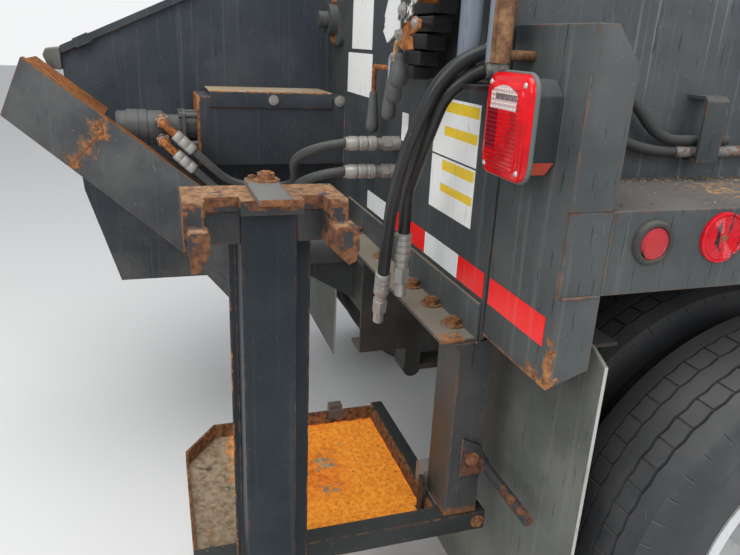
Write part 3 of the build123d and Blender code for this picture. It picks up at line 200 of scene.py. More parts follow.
surface = [("Color", "Color"), ("Roughness", "Float"), ("Height", "Float")]
net, given, made = new_group("weather", "ShaderNodeTree", [
    ("Paint", "Color", colour((30, 35, 40))), ("Dust", "Color", colour((150, 150, 130))),
    ("Rust", "Color", colour((250, 115, 50))), ("Dust Amount", "Float", 0.5),
    ("Streak Amount", "Float", 0.5), ("Scratch Amount", "Float", 0.5), ("Edge Rust", "Float", 0.5),
    ("Spot Rust", "Float", 0.1), ("Gloss", "Float", 0.42)], surface)
where = net.where()
clouds = net.speckle(where, 5.0, 8.0, 0.62)
grains = net.speckle(where, 260.0, 3.0, 0.6)
runs = net.speckle(where, 6.0, 5.0, 0.6, (13, 13, 0.25))
dark_runs = net.speckle(where, 6.0, 5.0, 0.62, (24, 24, 2.0))
spots = net.speckle(where, 38.0, 9.0, 0.68)
blotches = net.speckle(where, 12.0, 7.0, 0.6)
cut_lines = net.spread(net.speckle(where, 190.0, 0.0, 0.5), 0.80, 0.86)
for cut_turn in ((0.5, 0.3, 0.9), (0.9, -0.5, 0.2)):
    cut_place = net.node("ShaderNodeMapping", {"Vector": where, "Rotation": cut_turn})
    cuts = net.speckle(cut_place, 3.0, 1.0, 0.5, (190, 7, 5))
    cut_lines = net.most(cut_lines, net.spread(cuts, 0.765, 0.80))
edge_reach = 7
round_edge = net.node("ShaderNodeBevel", {"Radius": edge_reach / per_metre}, samples=4)
flat_face = net.toward(round_edge, net.outputs("ShaderNodeNewGeometry", {})["Normal"])
worn_edge = net.times(net.spread(flat_face, 0.995, 0.9), net.spread(spots, 0.46, 0.56))
level = net.spread(net.axes(net.where("Normal"))["Z"], 0.3, 0.9)
settled = net.plus(net.spread(clouds, 0.35, 0.7, 0.15, 0.9), level)
dust_mask = net.times(given["Dust Amount"], settled, True)
streak_mask = net.times(net.spread(runs, 0.56, 0.68), given["Streak Amount"], True)
dark_mask = net.times(net.spread(dark_runs, 0.62, 0.66), given["Streak Amount"], True)
cut_mask = net.times(cut_lines, given["Scratch Amount"], True)
dusty = net.blend(dust_mask, given["Paint"], given["Dust"])
dusty = net.blend(net.times(streak_mask, 0.45), dusty, given["Dust"])
dusty = net.blend(net.times(dark_mask, 0.75), dusty, colour((12, 13, 14)))
dusty = net.blend(cut_mask, dusty, colour((200, 200, 190)))
rust_low = net.minus(0.74, net.times(given["Spot Rust"], 0.3))
rust_spots = net.spread(spots, rust_low, net.plus(rust_low, 0.05))
rust_mask = net.most(rust_spots, net.times(worn_edge, given["Edge Rust"]), True)
rust_tone = net.blend(net.spread(blotches, 0.35, 0.65), given["Rust"], colour((100, 35, 15)))
dulled = net.times(net.most(dust_mask, rust_mask), 0.4)
raised = net.plus(net.times(grains, 0.35), net.times(rust_mask, 0.9))
net.wire(net.blend(rust_mask, dusty, rust_tone), made["Color"])
net.wire(net.plus(given["Gloss"], dulled, True), made["Roughness"])
net.wire(raised, made["Height"])
weather = net.tree

net, given, made = new_group("zone", "ShaderNodeTree", [
    ("Low", "Vector", (0, 0, 0)), ("High", "Vector", (0, 0, 0)),
    ("Soft", "Float", 0.002), ("Ragged", "Float", 0.0)], [("Mask", "Float")])
where = net.where()
drift = net.times(net.minus(net.speckle(where, 45.0, 8.0, 0.7), 0.5), net.times(given["Ragged"], 4.0))
nearest = None
for near, far in ((where, given["Low"]), (given["High"], where)):
    inside = net.node("ShaderNodeVectorMath", {0: near, 1: far}, operation="SUBTRACT")
    for distance in net.axes(inside):
        nearest = distance if nearest is None else net.sums("MINIMUM", nearest, distance)
net.wire(net.sums("DIVIDE", net.plus(nearest, drift), given["Soft"], True), made["Mask"])
zone = net.tree


def shows(net, place):
    # A place is the way that a face looks and how closely, or a box: two corners, soft edge, ragged edge
    if len(place) == 4:
        *way, closely = place
        return net.spread(net.toward(net.where("Normal"), way), closely, closely + 0.1)
    box = metres(*place)
    inputs = {"Low": box[:3], "High": box[3:6], "Soft": box[6], "Ragged": box[7]}
    return net.node("ShaderNodeGroup", inputs, node_tree=zone)


def coat(paint, dust, dust_amount, streaks, scratches, edge_rust, spot_rust, gloss):
    return weather, {
        "Paint": colour(paint), "Dust": colour(dust), "Dust Amount": dust_amount, "Streak Amount": streaks,
        "Scratch Amount": scratches, "Edge Rust": edge_rust, "Spot Rust": spot_rust, "Gloss": gloss}


def changed(layer, **changes):
    group, values = layer
    values = dict(values)
    for key, value in changes.items():
        values[key.replace("_", " ").title()] = colour(value) if isinstance(value, tuple) else value
    return group, values


def new_material(name):
    material = bpy.data.materials.new(name)
    material.use_nodes = True
    return material, Net(material.node_tree)


def shaded(material, net, looks):
    shader = net.tree.nodes["Principled BSDF"].inputs
    for key, value in {"Specular IOR Level": 0.3, **looks}.items():
        net.wire(value, shader[key])
    return material


def finish(name, base, *over, bump=(0.3, 0.8), **fixed):
    # Over: a layer and the places where it shows over the layers before it. Bump: strength, depth
    material, net = new_material(name)
    group, values = base
    tone, rough, height = net.outputs("ShaderNodeGroup", values, node_tree=group)
    for (group, values), *places in over:
        mask = shows(net, places[0])
        for place in places[1:]:
            mask = net.most(mask, shows(net, place))
        next_tone, next_rough, next_height = net.outputs("ShaderNodeGroup", values, node_tree=group)
        tone = net.blend(mask, tone, next_tone)
        rough = net.plus(rough, net.times(mask, net.minus(next_rough, rough)))
        height = net.plus(height, net.times(mask, net.minus(next_height, height)))
    strength, depth = bump
    raised = {"Strength": strength, "Distance": depth / per_metre, "Height": height}
    relief = net.node("ShaderNodeBump", raised)
    return shaded(material, net, {"Base Color": tone, "Roughness": rough, "Normal": relief, **fixed})


def dress(material, *names):
    for name in names:
        nodes[name].data.materials.clear()
        nodes[name].data.materials.append(material)


# Coats: paint, dust, amount of dust, streaks, scratches, edge rust and spot rust, gloss
body_paint = finish("body_paint", coat((36, 42, 47), (135, 142, 132), 0.34, 0.7, 0.5, 0.8, 0.1, 0.4),
    bump=(0.25, 0.6))
chassis_paint = finish("chassis_paint",
    coat((20, 21, 22), (120, 115, 100), 0.5, 0.2, 0.1, 0.5, 0.3, 0.6), bump=(0.25, 0.6))
satin = {"Specular IOR Level": 0.12}
hopper_coat = coat((34, 41, 52), (130, 145, 150), 0.28, 0.5, 0.3, 0.5, 0.03, 0.38)
hopper_paint = finish("hopper_paint", hopper_coat,
    # Below about 0.1 m the hopper is painted paler with more and lighter dust: partly dust, partly painted
    # light standing in for the lit lower wall
    (changed(hopper_coat, dust=(150, 140, 120), dust_amount=0.75),
     (-2000, -3000, -2000, 2000, 1000, 100, 300, 100)),
    **satin)
wall_paint = finish("wall_paint", coat((52, 58, 63), (240, 270, 290), 0.22, 0.85, 0.4, 0.7, 0.15, 0.42),
    bump=(0.25, 0.6))
dress(body_paint, "rear_wall", "flange_bearing", "container_arm_pin", "lifter_pivot", "lifter_arm",
      "pipe_strap")
dress(wall_paint, "side_walls")
dress(hopper_paint, "hopper")
dress(chassis_paint, "frame_rails", "crossmembers", "body_floor", "rear_axle", "leaf_springs",
      "brake_plates", "marker_lamp_grommets")

# Rust scale on bare steel.
# Where the paint is gone, the steel carries a flaking orange and brown scale
# with dark paint or bare metal left in places.
net, given, made = new_group("scale_rust", "ShaderNodeTree", [
    ("Light", "Color", colour((420, 170, 50))), ("Dark", "Color", colour((90, 35, 18))),
    ("Steel", "Color", colour((50, 50, 50))), ("Size", "Float", 1.0),
    ("Steel Amount", "Float", 0.2)], surface)
sized = net.node("ShaderNodeVectorMath", {0: net.where(), "Scale": given["Size"]}, operation="SCALE")
flakes = net.speckle(sized, 34.0, 10.0, 0.7)
patches = net.speckle(sized, 9.0, 6.0, 0.6)
pits = net.speckle(sized, 150.0, 4.0, 0.6)
left_paint = net.speckle(sized, 14.0, 8.0, 0.66)
tone = net.blend(net.spread(flakes, 0.4, 0.62), given["Light"], given["Dark"])
tone = net.blend(net.times(net.spread(patches, 0.5, 0.7), 0.6), tone, given["Dark"])
paint_low = net.minus(0.75, net.times(given["Steel Amount"], 0.35))
paint_left = net.spread(left_paint, paint_low, net.plus(paint_low, 0.04))
net.wire(net.blend(paint_left, tone, given["Steel"]), made["Color"])
net.wire(net.minus(0.88, net.times(paint_left, 0.35)), made["Roughness"])
net.wire(net.plus(flakes, net.times(pits, 0.6)), made["Height"])
scale_rust = net.tree


def rust(light, dark, steel, size, steel_amount):
    return scale_rust, {"Light": colour(light), "Dark": colour(dark), "Steel": colour(steel), "Size": size,
                        "Steel Amount": steel_amount}


# Turned and swept steel.
# Grips, crimps, nuts, lamps and the motor are turned parts, so each is a stack
# of bands spun round a line, closed at both ends.


def skin(shell, rings, capped=False):
    for low, high in zip(rings, rings[1:]):
        count = max(len(low), len(high))
        for step in range(count):
            beyond = (step + 1) % count
            corners = [low[step % len(low)], low[beyond % len(low)],
                       high[beyond % len(high)], high[step % len(high)]]
            corners = list(dict.fromkeys(corners))
            if len(corners) > 2:
                shell.faces.new(corners)
    if capped:
        shell.faces.new(rings[-1])
        shell.faces.new(list(reversed(rings[0])))


def turned(shell, start, along, *stages):
    # A stage is how many sides it has and its outline: reach along the line, radius
    axis = Vector(along).normalized()
    across = axis.orthogonal().normalized()
    beside = axis.cross(across)
    for sides, outline in stages:
        rings = []
        for reach, radius in outline:
            ring = []
            for step in range(sides if radius > 0 else 1):
                angle = step * math.tau / sides
                aside = radius * (across * math.cos(angle) + beside * math.sin(angle))
                ring.append(shell.verts.new((Vector(start) + axis * reach + aside) / per_metre))
            rings.append(ring)
        skin(shell, rings)


def place_piece(piece, body, slot, *replaced):
    scene.collection.objects.link(piece)
    if replaced:
        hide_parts(*replaced)
    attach(piece, body)
    return piece


def settle(name, shell, material, slot, *replaced, body="rear_end", sharp=40):
    bmesh.ops.recalc_face_normals(shell, faces=shell.faces)
    mesh = bpy.data.meshes.new(name)
    shell.to_mesh(mesh)
    shell.free()
    mesh.shade_smooth()
    mesh.set_sharp_from_angle(angle=math.radians(sharp))
    mesh.materials.append(material)
    return place_piece(bpy.data.objects.new(name, mesh), body, slot, *replaced)


def shell_of(mesh):
    shell = bmesh.new()
    shell.from_mesh(mesh)
    return shell


# Hanging hoses.
# Two rubber hydraulic hoses hang uncoupled from ports on the rear wall. Each
# ends in a crimped sleeve, a turning nut and a short open pipe of plated steel.
hose_black = finish("hose_black", coat((18, 19, 21), (90, 90, 85), 0.3, 0.1, 0.15, 0, -0.5, 0.3),
    bump=(0.15, 0.3))
plated = finish("plated", coat((420, 420, 400), (270, 250, 210), 0.6, 0.2, 0.2, 0.35, 0.08, 0.33),
    bump=(0.3, 0.5), Metallic=0.45)
hose_width = 26
hose_routes = {
    "front": [(938, -1440, 606), (926, -1500, 586), (897, -1545, 470),
              (822, -1546, 345), (780, -1540, 262), (741, -1532, 150)],
    "rear": [(938, -1440, 575), (922, -1496, 551), (880, -1510, 460),
             (814, -1507, 372), (773, -1503, 328), (770, -1502, 245)],
}


def pressed(places, full, low, slope):
    # Bands that the crimping tool has pressed into a sleeve
    band = ((0, full), (slope, low), (3 * slope, low), (4 * slope, full))
    return [(place + reach, radius) for place in places for reach, radius in band]


sleeve_outline = [(0, 0), (0, 14.5), (2, 17), *pressed((10, 24, 38), 17, 15.7, 1), (55, 17), (58, 15),
                  (64, 13)]
pipe_outline = [(64, 13), (74, 12.5), (112, 12), (139, 12), (140, 11), (140, 7), (100, 7), (100, 0)]
nut_outline = [(73.5, 0), (73.5, 14), (76, 17.2), (108, 17.2), (111, 14), (111, 0)]


def rubber_hose(name, node, width, route, material):
    curve = bpy.data.curves.new(name, "CURVE")
    curve.dimensions = "3D"
    curve.bevel_depth = width / 2 / per_metre
    curve.bevel_resolution = 6
    curve.resolution_u = 12
    curve.use_fill_caps = True
    spline = curve.splines.new("NURBS")
    spline.points.add(len(route) - 1)
    for point, place in zip(spline.points, route):
        point.co = (*metres(*place), 1.0)
    spline.order_u = 3
    spline.use_endpoint_u = True
    curve.materials.append(material)
    return place_piece(bpy.data.objects.new(name, curve), "rear_end", "hose_rubber", node)


for side_name, route in hose_routes.items():
    hose_name = "hanging_hose_" + side_name
    hose = rubber_hose(hose_name + "_rubber", hose_name, hose_width, route, hose_black)
    shell = bmesh.new()
    turned(shell, route[-1], Vector(route[-1]) - Vector(route[-2]), (32, sleeve_outline + pipe_outline),
           (6, nut_outline))
    crimp = settle(hose_name + "_crimp", shell, plated, "bright_steel", "hanging_hose_ends")

# Motor hoses and hose fittings.
# Two shorter hoses run from the motor's elbows to the wall, and two more leave
# the corner post. Crimps, wall fittings and ports are plated steel.
hose_dusty = finish("hose_dusty", coat((32, 34, 35), (130, 130, 115), 0.4, 0, 0.1, 0, -0.5, 0.42),
    bump=(0.2, 0.3))
shelf_x = 968
# Fixed hoses: name, node, width, length, route
for hose_name, hose_node, width, hose_length, route in [
    ("motor_hose_upper", "motor_hoses", 24, 789, [
        (-16, -1876, 290), (-16, -1847, 262), (-16, -1818, 234), (-16, -1788, 208),
        (-14, -1752, 191), (-11, -1710, 185), (4, -1670, 186), (31, -1641, 191),
        (68, -1625, 199), (107, -1620, 209), (146, -1617, 221), (184, -1617, 234),
        (221, -1621, 251), (258, -1628, 271), (294, -1637, 292), (332, -1646, 315),
        (370, -1640, 338), (404, -1613, 359), (426, -1573, 373), (432, -1540, 378)]),
    ("motor_hose_lower", "motor_hoses", 24, 782, [
        (-16, -1876, 235), (-16, -1847, 207), (-16, -1818, 179), (-16, -1787, 153),
        (-14, -1750, 136), (-11, -1708, 131), (4, -1668, 131), (31, -1638, 136),
        (68, -1620, 144), (107, -1613, 154), (147, -1609, 164), (186, -1607, 175),
        (224, -1611, 188), (260, -1620, 206), (294, -1631, 227), (330, -1640, 249),
        (368, -1635, 271), (403, -1610, 291), (426, -1571, 305), (432, -1540, 309)]),
    ("shelf_hose_upper", "shelf_hoses", 20, 438, [
        (shelf_x, -1322.5, 588), (shelf_x, -1262, 588), (shelf_x, -1160, 545),
        (shelf_x, -1082, 462.5), (shelf_x, -990, 462.2), (shelf_x, -920, 462.2)]),
    ("shelf_hose_lower", "shelf_hoses", 20, 291, [
        (shelf_x, -1322.5, 500), (shelf_x, -1245, 500), (shelf_x, -1120, 441), (shelf_x, -1040, 441)]),
]:
    hose = rubber_hose(hose_name, hose_node, width, route, hose_dusty)
back, up, out = (0, -1, 0), (0, 0, 1), (1, 0, 0)
shell = bmesh.new()
port_outline = [(0, 0), (0, 13.5), (12, 13.5), (14, 11), (30, 11), (32, 13.8), (40, 13.8), (40, 0)]
port_nut = [(13, 0), (13, 14), (28, 14), (28, 0)]
for port_z in (606, 575):
    turned(shell, (938, -1400, port_z), back, (32, port_outline), (6, port_nut))
wall_fitting = [(0, 0), (0, 17.8), (20, 17.8), (22, 13.5), (58, 13.5), (60, 15), (62, 17.8),
                *pressed((78, 102), 17.8, 16, 2), (128, 17.8), (131, 16), (140, 15.5), (140, 0)]
fitting_nut = [(23, 0), (23, 17.8), (42, 17.8), (42, 0)]
for fitting_z in (309, 378):
    turned(shell, (432, -1400, fitting_z), back, (32, wall_fitting), (6, fitting_nut))
elbow_x, elbow_y, elbow_heights = -16, -1958, (369, 314)
elbow_run = Vector((0.0, 0.72, -0.694))
elbow_crimp = [(0, 0), (0, 15), (3, 17), *pressed((20, 46), 17, 16.3, 1), (67, 17), (70, 15), (70, 0)]
elbow_reach = 44
for elbow_z in elbow_heights:
    elbow_end = Vector((elbow_x, elbow_y, elbow_z)) + elbow_run * elbow_reach
    turned(shell, elbow_end, elbow_run, (32, elbow_crimp))
settle("steel_hose_fittings", shell, plated, "bright_steel", "hose_fittings")

# Softened edges.
# Sheet steel is never knife-sharp, so the pieces near the camera are rebuilt
# from their own solids with merged faces and a small round on every edge.


merge_within = 0.02
flat_angle = 1
edge_angle = 35


def softened(node, round_by, material, slot, body="rear_end"):
    mesh = nodes[node].data.copy()
    shell = shell_of(mesh)
    bmesh.ops.remove_doubles(shell, verts=shell.verts, dist=merge_within / per_metre)
    flat = math.radians(flat_angle)
    bmesh.ops.dissolve_limit(shell, angle_limit=flat, verts=shell.verts, edges=shell.edges)
    shell.to_mesh(mesh)
    shell.free()
    mesh.materials.clear()
    mesh.materials.append(material)
    piece = bpy.data.objects.new(node + "_round", mesh)
    bevel = piece.modifiers.new("round", "BEVEL")
    bevel.width = round_by / per_metre
    bevel.segments = 2
    bevel.limit_method = "ANGLE"
    bevel.angle_limit = math.radians(edge_angle)
    bevel.harden_normals = True
    mesh.shade_smooth()
    return place_piece(piece, body, slot, node)


post_coat = coat((45, 52, 56), (150, 158, 148), 0.4, 0.85, 0.3, 1, 0.12, 0.38)
# Scale: light rust, dark rust, steel or paint left, size, how much is left
flaking = rust((380, 165, 60), (140, 60, 30), (50, 50, 50), 1.6, 0.3)
post_paint = finish("post_paint", post_coat,
    (flaking, (1120, -1405, 80, 1190, -1380, 112, 4, 18), (1168, -1405, 80, 1190, -1388, 180, 4, 14),
     (955, -1405, 80, 1190, -1396, 94, 3, 6)))
fender_paint = finish("fender_paint", changed(post_coat, dust_amount=0.35),
    (changed(post_coat, paint=(55, 55, 55), dust=(170, 155, 140), dust_amount=0.4), (0, 0, 1, 0.8)),
    (changed(flaking, light=(420, 240, 110), dark=(220, 120, 60)),
     (1000, -1040, 383, 1120, -900, 390, 10, 30)))
angle_paint = finish("angle_paint", changed(post_coat, dust_amount=0.5),
    (coat((110, 100, 85), (230, 200, 155), 0.6, 0.1, 0.6, 0.6, 0.25, 0.6), (0, 0, 1, 0.8)),
    (flaking, (915, -1482, 66, 950, -1430, 80, 4, 12)))
valve_coat = coat((14, 15, 17), (100, 100, 95), 0.35, 0.2, 0.3, 0.35, 0.1, 0.38)
valve_paint = finish("valve_paint", valve_coat, bump=(0.25, 0.6), **satin)
dress(valve_paint, "flap_brackets")
drive_coat = coat((33, 38, 46), (120, 125, 125), 0.28, 0.35, 0.5, 1, 0.12, 0.36)
drive_paint = finish("drive_paint", drive_coat,
    (coat((560, 550, 520), (340, 260, 170), 0.7, 0.5, 0.5, 1, 0.35, 0.35),
     (-262, -1825, 456.5, -60, -1440, 470, 1, 0)),
    (flaking, (-75, -1822, 454.5, -60, -1443, 462, 2, 6), (-262, -1862, 230, -68, -1850, 445, 2, 4)),
    **satin)
lamp_paint = finish("lamp_paint", coat((30, 33, 35), (110, 120, 120), 0.35, 0.2, 0.3, 0, -0.5, 0.5),
    (coat((100, 115, 112), (150, 160, 155), 0.5, 0.5, 0.5, 0, -0.5, 0.4),
     (-2000, -1456, 0, 2000, -1446.2, 1000, 0.5, 0)))
flap_coat = coat((80, 86, 78), (210, 215, 190), 0.6, 0.5, 1, 0, -0.5, 0.6)
flap_rubber = finish("flap_rubber", flap_coat,
    (changed(flap_coat, paint=(460, 460, 440), dust=(300, 290, 260), dust_amount=0.5), (1, 0, 0, 0.6),
     (-1, 0, 0, 0.6)),
    bump=(0.35, 0.8))
bumper_rubber = finish("bumper_rubber", changed(flap_coat, paint=(35, 37, 38)), bump=(0.35, 0.8))
# Softened: node, round, finish, slot
for soft_row in [
    ("mud_flaps", 2.2, flap_rubber, "flap_rubber"),
    ("hopper_bumper", 5, bumper_rubber, "flap_rubber"),
    ("corner_posts", 2.2, post_paint, "black_paint"),
    ("fenders", 1.8, fender_paint, "black_paint"),
    ("wall_angle", 2, angle_paint, "black_paint"),
    ("valve_block", 3, valve_paint, "black_paint"),
    ("drive_box", 2, drive_paint, "black_paint"),
    ("tail_lamp_housings", 2.5, lamp_paint, "lamp_black"),
]:
    softened(*soft_row)

# Step.
# A square column and a welded tray hang from the angle. The tray's floor is
# bright with rust, its near bar, flange and strap are black, its catch is grey.
black_bar = coat((12, 14, 15), (60, 62, 60), 0.3, 0.2, 0.5, 0.8, 0.2, 0.45)
grey_steel = coat((200, 200, 200), (240, 210, 170), 0.5, 0.3, 0.4, 0.9, 0.25, 0.35)
tray_finish = finish("tray_finish", rust((940, 360, 32), (740, 200, 15), (260, 110, 30), 2.6, 0.2),
    (rust((840, 250, 20), (580, 120, 12), (190, 160, 100), 2.4, 0.45),
     (550, -1800, -600, 800, -1560, -200, 80, 50)),
    (rust((300, 235, 160), (170, 120, 70), (50, 50, 50), 1.6, 0.4),
     (400, -2050, -430, 910, -1825, -340, 35, 25), (400, -2000, -384, 483, -1800, -300, 6, 10)),
    (rust((230, 100, 35), (60, 30, 18), (30, 30, 30), 1.8, 0.5),
     (400, -2050, -383.5, 911, -1430, -338, 3, 4), (300, -2050, -383.5, 442.5, -1400, -200, 2, 0)),
    (black_bar, (907, -2000, -430, 965, -1300, -330, 2, 1.5),
     (430, -1447.5, -356, 960, -1390, -335, 3, 3), (847, -1465, -400, 879, -1450.5, -290, 1, 0)),
    (grey_steel, (797, -1449, -344, 847, -1398, -290, 1, 0)),
    (changed(black_bar, paint=(70, 60, 50), dust=(150, 120, 90)),
     (400, -1575, -370, 476.5, -1530, -320, 1, 0)),
    (rust((420, 300, 150), (240, 150, 70), (100, 90, 70), 2.6, 0.4),
     (622, -1650, -390, 662, -1606, -370, 4, 20), (730, -1651, -390, 754, -1619, -370, 4, 20)),
    bump=(0.5, 1.2))
column_finish = finish("column_finish",
    coat((30, 33, 36), (130, 120, 100), 0.4, 0.4, 0.4, 0.8, 0.15, 0.4),
    (coat((50, 49, 46), (120, 110, 95), 0.45, 0.5, 0.5, 0.9, 0.15, 0.45), (0, -1, 0, 0.7)),
    (rust((150, 60, 28), (45, 26, 18), (30, 30, 30), 1.6, 0.85),
     (945.5, -1420, -256, 1200, -1330, -145, 2, 4)),
    (changed(flaking, light=(220, 100, 40)), (830, -1450, -360, 960, -1340, -328, 8, 16)))
softened("step_tray", 1.8, tray_finish, "tray_rust")
softened("step_column", 2.5, column_finish, "black_paint")

# Container arm.
# A deep pressed channel hinged beside the hopper. Its top flange has rusted
# through its paint, and its black web is scratched by the carts.
arm_finish = finish("arm_finish", coat((46, 50, 56), (190, 190, 180), 0.45, 0.25, 1, 0.9, 0.22, 0.4),
    (rust((340, 130, 40), (140, 55, 25), (50, 45, 40), 0.9, 0.2), (0, 0.62, 0.785, 0.6)),
    (changed(flaking, steel_amount=0.5, size=2), (-30, -2225, 235, 20, -2180, 290, 20, 20),
     (-30, -2195, 270, 20, -2140, 330, 30, 30), (-30, -2160, 315, 20, -2100, 385, 20, 20)),
    bump=(0.4, 0.8), **satin)
softened("container_arm", 2, arm_finish, "black_paint", "container_arm")

# Cart lifter: mast, saddle and latch tab.
# The saddle that catches a cart's rail is thick plate with two hooked teeth.
# Its paint is nearly gone. A steel tab bolted on top locks the rail.
mast_paint = finish("mast_paint", coat((18, 23, 28), (85, 97, 108), 0.25, 0.25, 0.12, 0.8, 0.02, 0.33),
    (changed(flaking, steel_amount=0.8, steel=(30, 30, 33)), (955, -1885, -800, 972, -1876.5, 200, 1, 3),
     (955, -1745.5, -800, 972, -1740, 200, 1, 3)),
    **satin)
saddle_black = coat((22, 24, 28), (110, 110, 105), 0.3, 0.2, 0.7, 0.7, 0.3, 0.35)
saddle_rust = finish("saddle_rust", rust((210, 90, 38), (75, 34, 22), (28, 31, 36), 2.2, 0.55),
    (rust((310, 175, 90), (150, 75, 40), (60, 55, 50), 2.4, 0.5), (0, 0, 1, 0.7)),
    (saddle_black, (1026, -1922, 310, 1040, -1739, 370.5, 2, 0),
     (980, -1906, 320, 1100, -1754, 379, 2, 4), (1070, -1946, 346, 1090, -1924, 384, 2, 12),
     (1070, -1736, 356, 1090, -1717, 384, 2, 12), (1105, -1730, 326, 1120, -1711, 356, 2, 10),
     (990, -1923, 335, 1062, -1905, 372, 4, 20), (990, -1755, 335, 1062, -1738, 372, 4, 20)),
    bump=(0.6, 1.4))
tab_steel = finish("tab_steel", coat((130, 135, 140), (200, 190, 170), 0.35, 0.1, 0.7, 1, 0.2, 0.3),
    (changed(flaking, light=(270, 120, 50)), (940, -1860, 400, 1000, -1790, 420, 6, 16),
     (1108.5, -1860, 380, 1120, -1790, 410, 1, 3)),
    bump=(0.4, 0.8), Metallic=0.3)
softened("lifter_mast", 3, mast_paint, "black_paint", "cart_lifter")
softened("lifter_saddle", 3.5, saddle_rust, "rusty_steel", "cart_lifter")
softened("latch_tab", 1.5, tab_steel, "rusty_steel", "cart_lifter")

# Levers.
# Four bent steel bars leave the valve stack; each has a moulded grip. A rusted
# guide plate and a white guard sheet cover the upper ones.
bar_finish = finish("bar_finish", rust((420, 150, 35), (130, 45, 18), (50, 50, 50), 1.8, 0.3),
    (coat((260, 300, 360), (220, 200, 170), 0.3, 0.5, 0.5, 0.5, 0.15, 0.3),
     (500, -1475, 500, 660, -1450, 610, 2, 3)),
    (rust((420, 270, 130), (200, 120, 60), (50, 50, 50), 2, 0.35),
     (645, -1515, 500, 680, -1470, 640, 2, 3)),
    (valve_coat, (755, -1538.5, 500, 785, -1470, 670, 2, 2), (860, -1500, 540, 1000, -1390, 560, 2, 0)),
    bump=(0.5, 0.8))
grip_rubber = finish("grip_rubber", coat((55, 58, 60), (150, 150, 140), 0.5, 0.2, 0.2, 0, -0.5, 0.5),
    bump=(0.3, 0.4))
guard_white = finish("guard_white",
    coat((720, 720, 710), (500, 490, 460), 0.25, 0.3, 0.6, 0.2, 0.1, 0.35),
    (valve_coat, (800, -1560, 600, 900, -1530, 705, 10, 30), (835, -1560, 660, 900, -1530, 800, 10, 35),
     (690, -1560, 630, 720, -1530, 660, 3, 20)))
dress(bar_finish, "lever_bars", "tube_brackets", "motor_elbows")
dress(guard_white, "lever_guard")
shell = bmesh.new()
# Grips: X, Y, foot, top
for grip_x, grip_y, grip_foot, grip_top in [
    (333, -1440, 391, 495), (520, -1462, 444, 536), (662, -1502, 495, 578), (770, -1532, 532, 596),
]:
    tall = grip_top - grip_foot
    turned(shell, (grip_x, grip_y, grip_foot), up, (28, [
        (0, 0), (0.5, 6), (2, 10.5), (5, 14), (10, 16.2), (16, 17), (24, 16.8), (32, 15.8),
        (32 + (tall - 50) * 0.5, 13), (tall - 18, 10.8), (tall - 12, 9.8), (tall - 10, 10.2),
        (tall - 3, 9.8), (tall, 8.5), (tall, 0)]))
settle("lever_grips_moulded", shell, grip_rubber, "grip_plastic", "lever_grips")
shell = bmesh.new()
turned(shell, (633, -1400, 524), back, (32, [
    (0, 0), (0, 9), (6, 9), (7, 13), (9, 14.2), (18, 14.2), (20.5, 12.8), (21.5, 10), (21.5, 0)]))
settle("wall_knob", shell, grip_rubber, "grip_plastic")

# Tubes and pipe.
# The upright tubes are drawn steel, two painted grey-blue and one left to
# rust. The pipe along the shelf is scaled with rust and grey dust.
tube_finish = finish("tube_finish",
    coat((150, 180, 220), (220, 230, 240), 0.45, 0.5, 0.2, 0.6, 0.05, 0.3),
    (rust((260, 140, 70), (110, 55, 30), (50, 50, 50), 1.2, 0.3),
     (1010, -1500, 580, 1050, -1390, 960, 1, 0)),
    bump=(0.25, 0.5))
pipe_rust = finish("pipe_rust", rust((240, 130, 70), (130, 75, 50), (200, 200, 200), 2, 0.75),
    bump=(0.4, 0.6))
dress(tube_finish, "hydraulic_tubes")
dress(pipe_rust, "shelf_pipe")

# Tyres with worn zigzag tread.
# Each casing is moulded rubber: two bulged walls with fine rings and a crown
# of five ribs, parted by zigzag grooves and cut across by narrow sipes.
both_sides = (("right", 1), ("left", -1))
axle_y, axle_z = -700, -385
dual_places = {"inner": 800, "outer": 1115}
crown = 504.8
crown_drop = 6
tread_half = 108
groove_depth = 10
groove_half = 3.4
groove_places = [-66, -22, 22, 66]
sipe_depth = 3.5
sipe_ribs = (1, 3)
notch_from = 490
notch_depth = 4
pitches = 62
zigzag = 2
sipe_stations = (0.915, 0.975)
station_parts = [0.0, 0.25, 0.5, 0.75, 0.90, *sipe_stations]
# Wall outline from bead to shoulder: half width, radius
wall_outline = [
    (95, 286.5), (95.5, 300), (102, 306), (103.5, 312), (109.5, 324),
    (118, 345), (119.5, 349), (121.5, 350), (126.2, 370), (130, 395),
    (130.8, 415), (129, 435), (130.8, 440), (128.5, 445), (125, 462),
    (120.5, 478), (115, 492),
]


def zig_at(pitch_part):
    return zigzag * (abs(pitch_part % 1.0 - 0.5) * 4.0 - 1.0)


def tread_outline():
    # Across one tyre: kind, place, wall radius or depth under the crown, rib, how much it zigzags
    across = [("wall", -half, radius, 0, 0) for half, radius in wall_outline]
    edges = [-tread_half, *groove_places, tread_half]
    last = len(groove_places)
    for rib, (low, high) in enumerate(zip(edges, edges[1:])):
        low_zig, high_zig = int(rib > 0), int(rib < last)
        across.append(("rib", low + low_zig * groove_half, 0.0, rib, low_zig))
        across.append(("rib", high - high_zig * groove_half, 0.0, rib, high_zig))
        if rib < last:
            across.append(("groove", high - groove_half * 0.5, groove_depth, rib, 1))
            across.append(("groove", high + groove_half * 0.5, groove_depth, rib + 1, 1))
    return across + [("wall", half, radius, last, 0) for half, radius in reversed(wall_outline)]


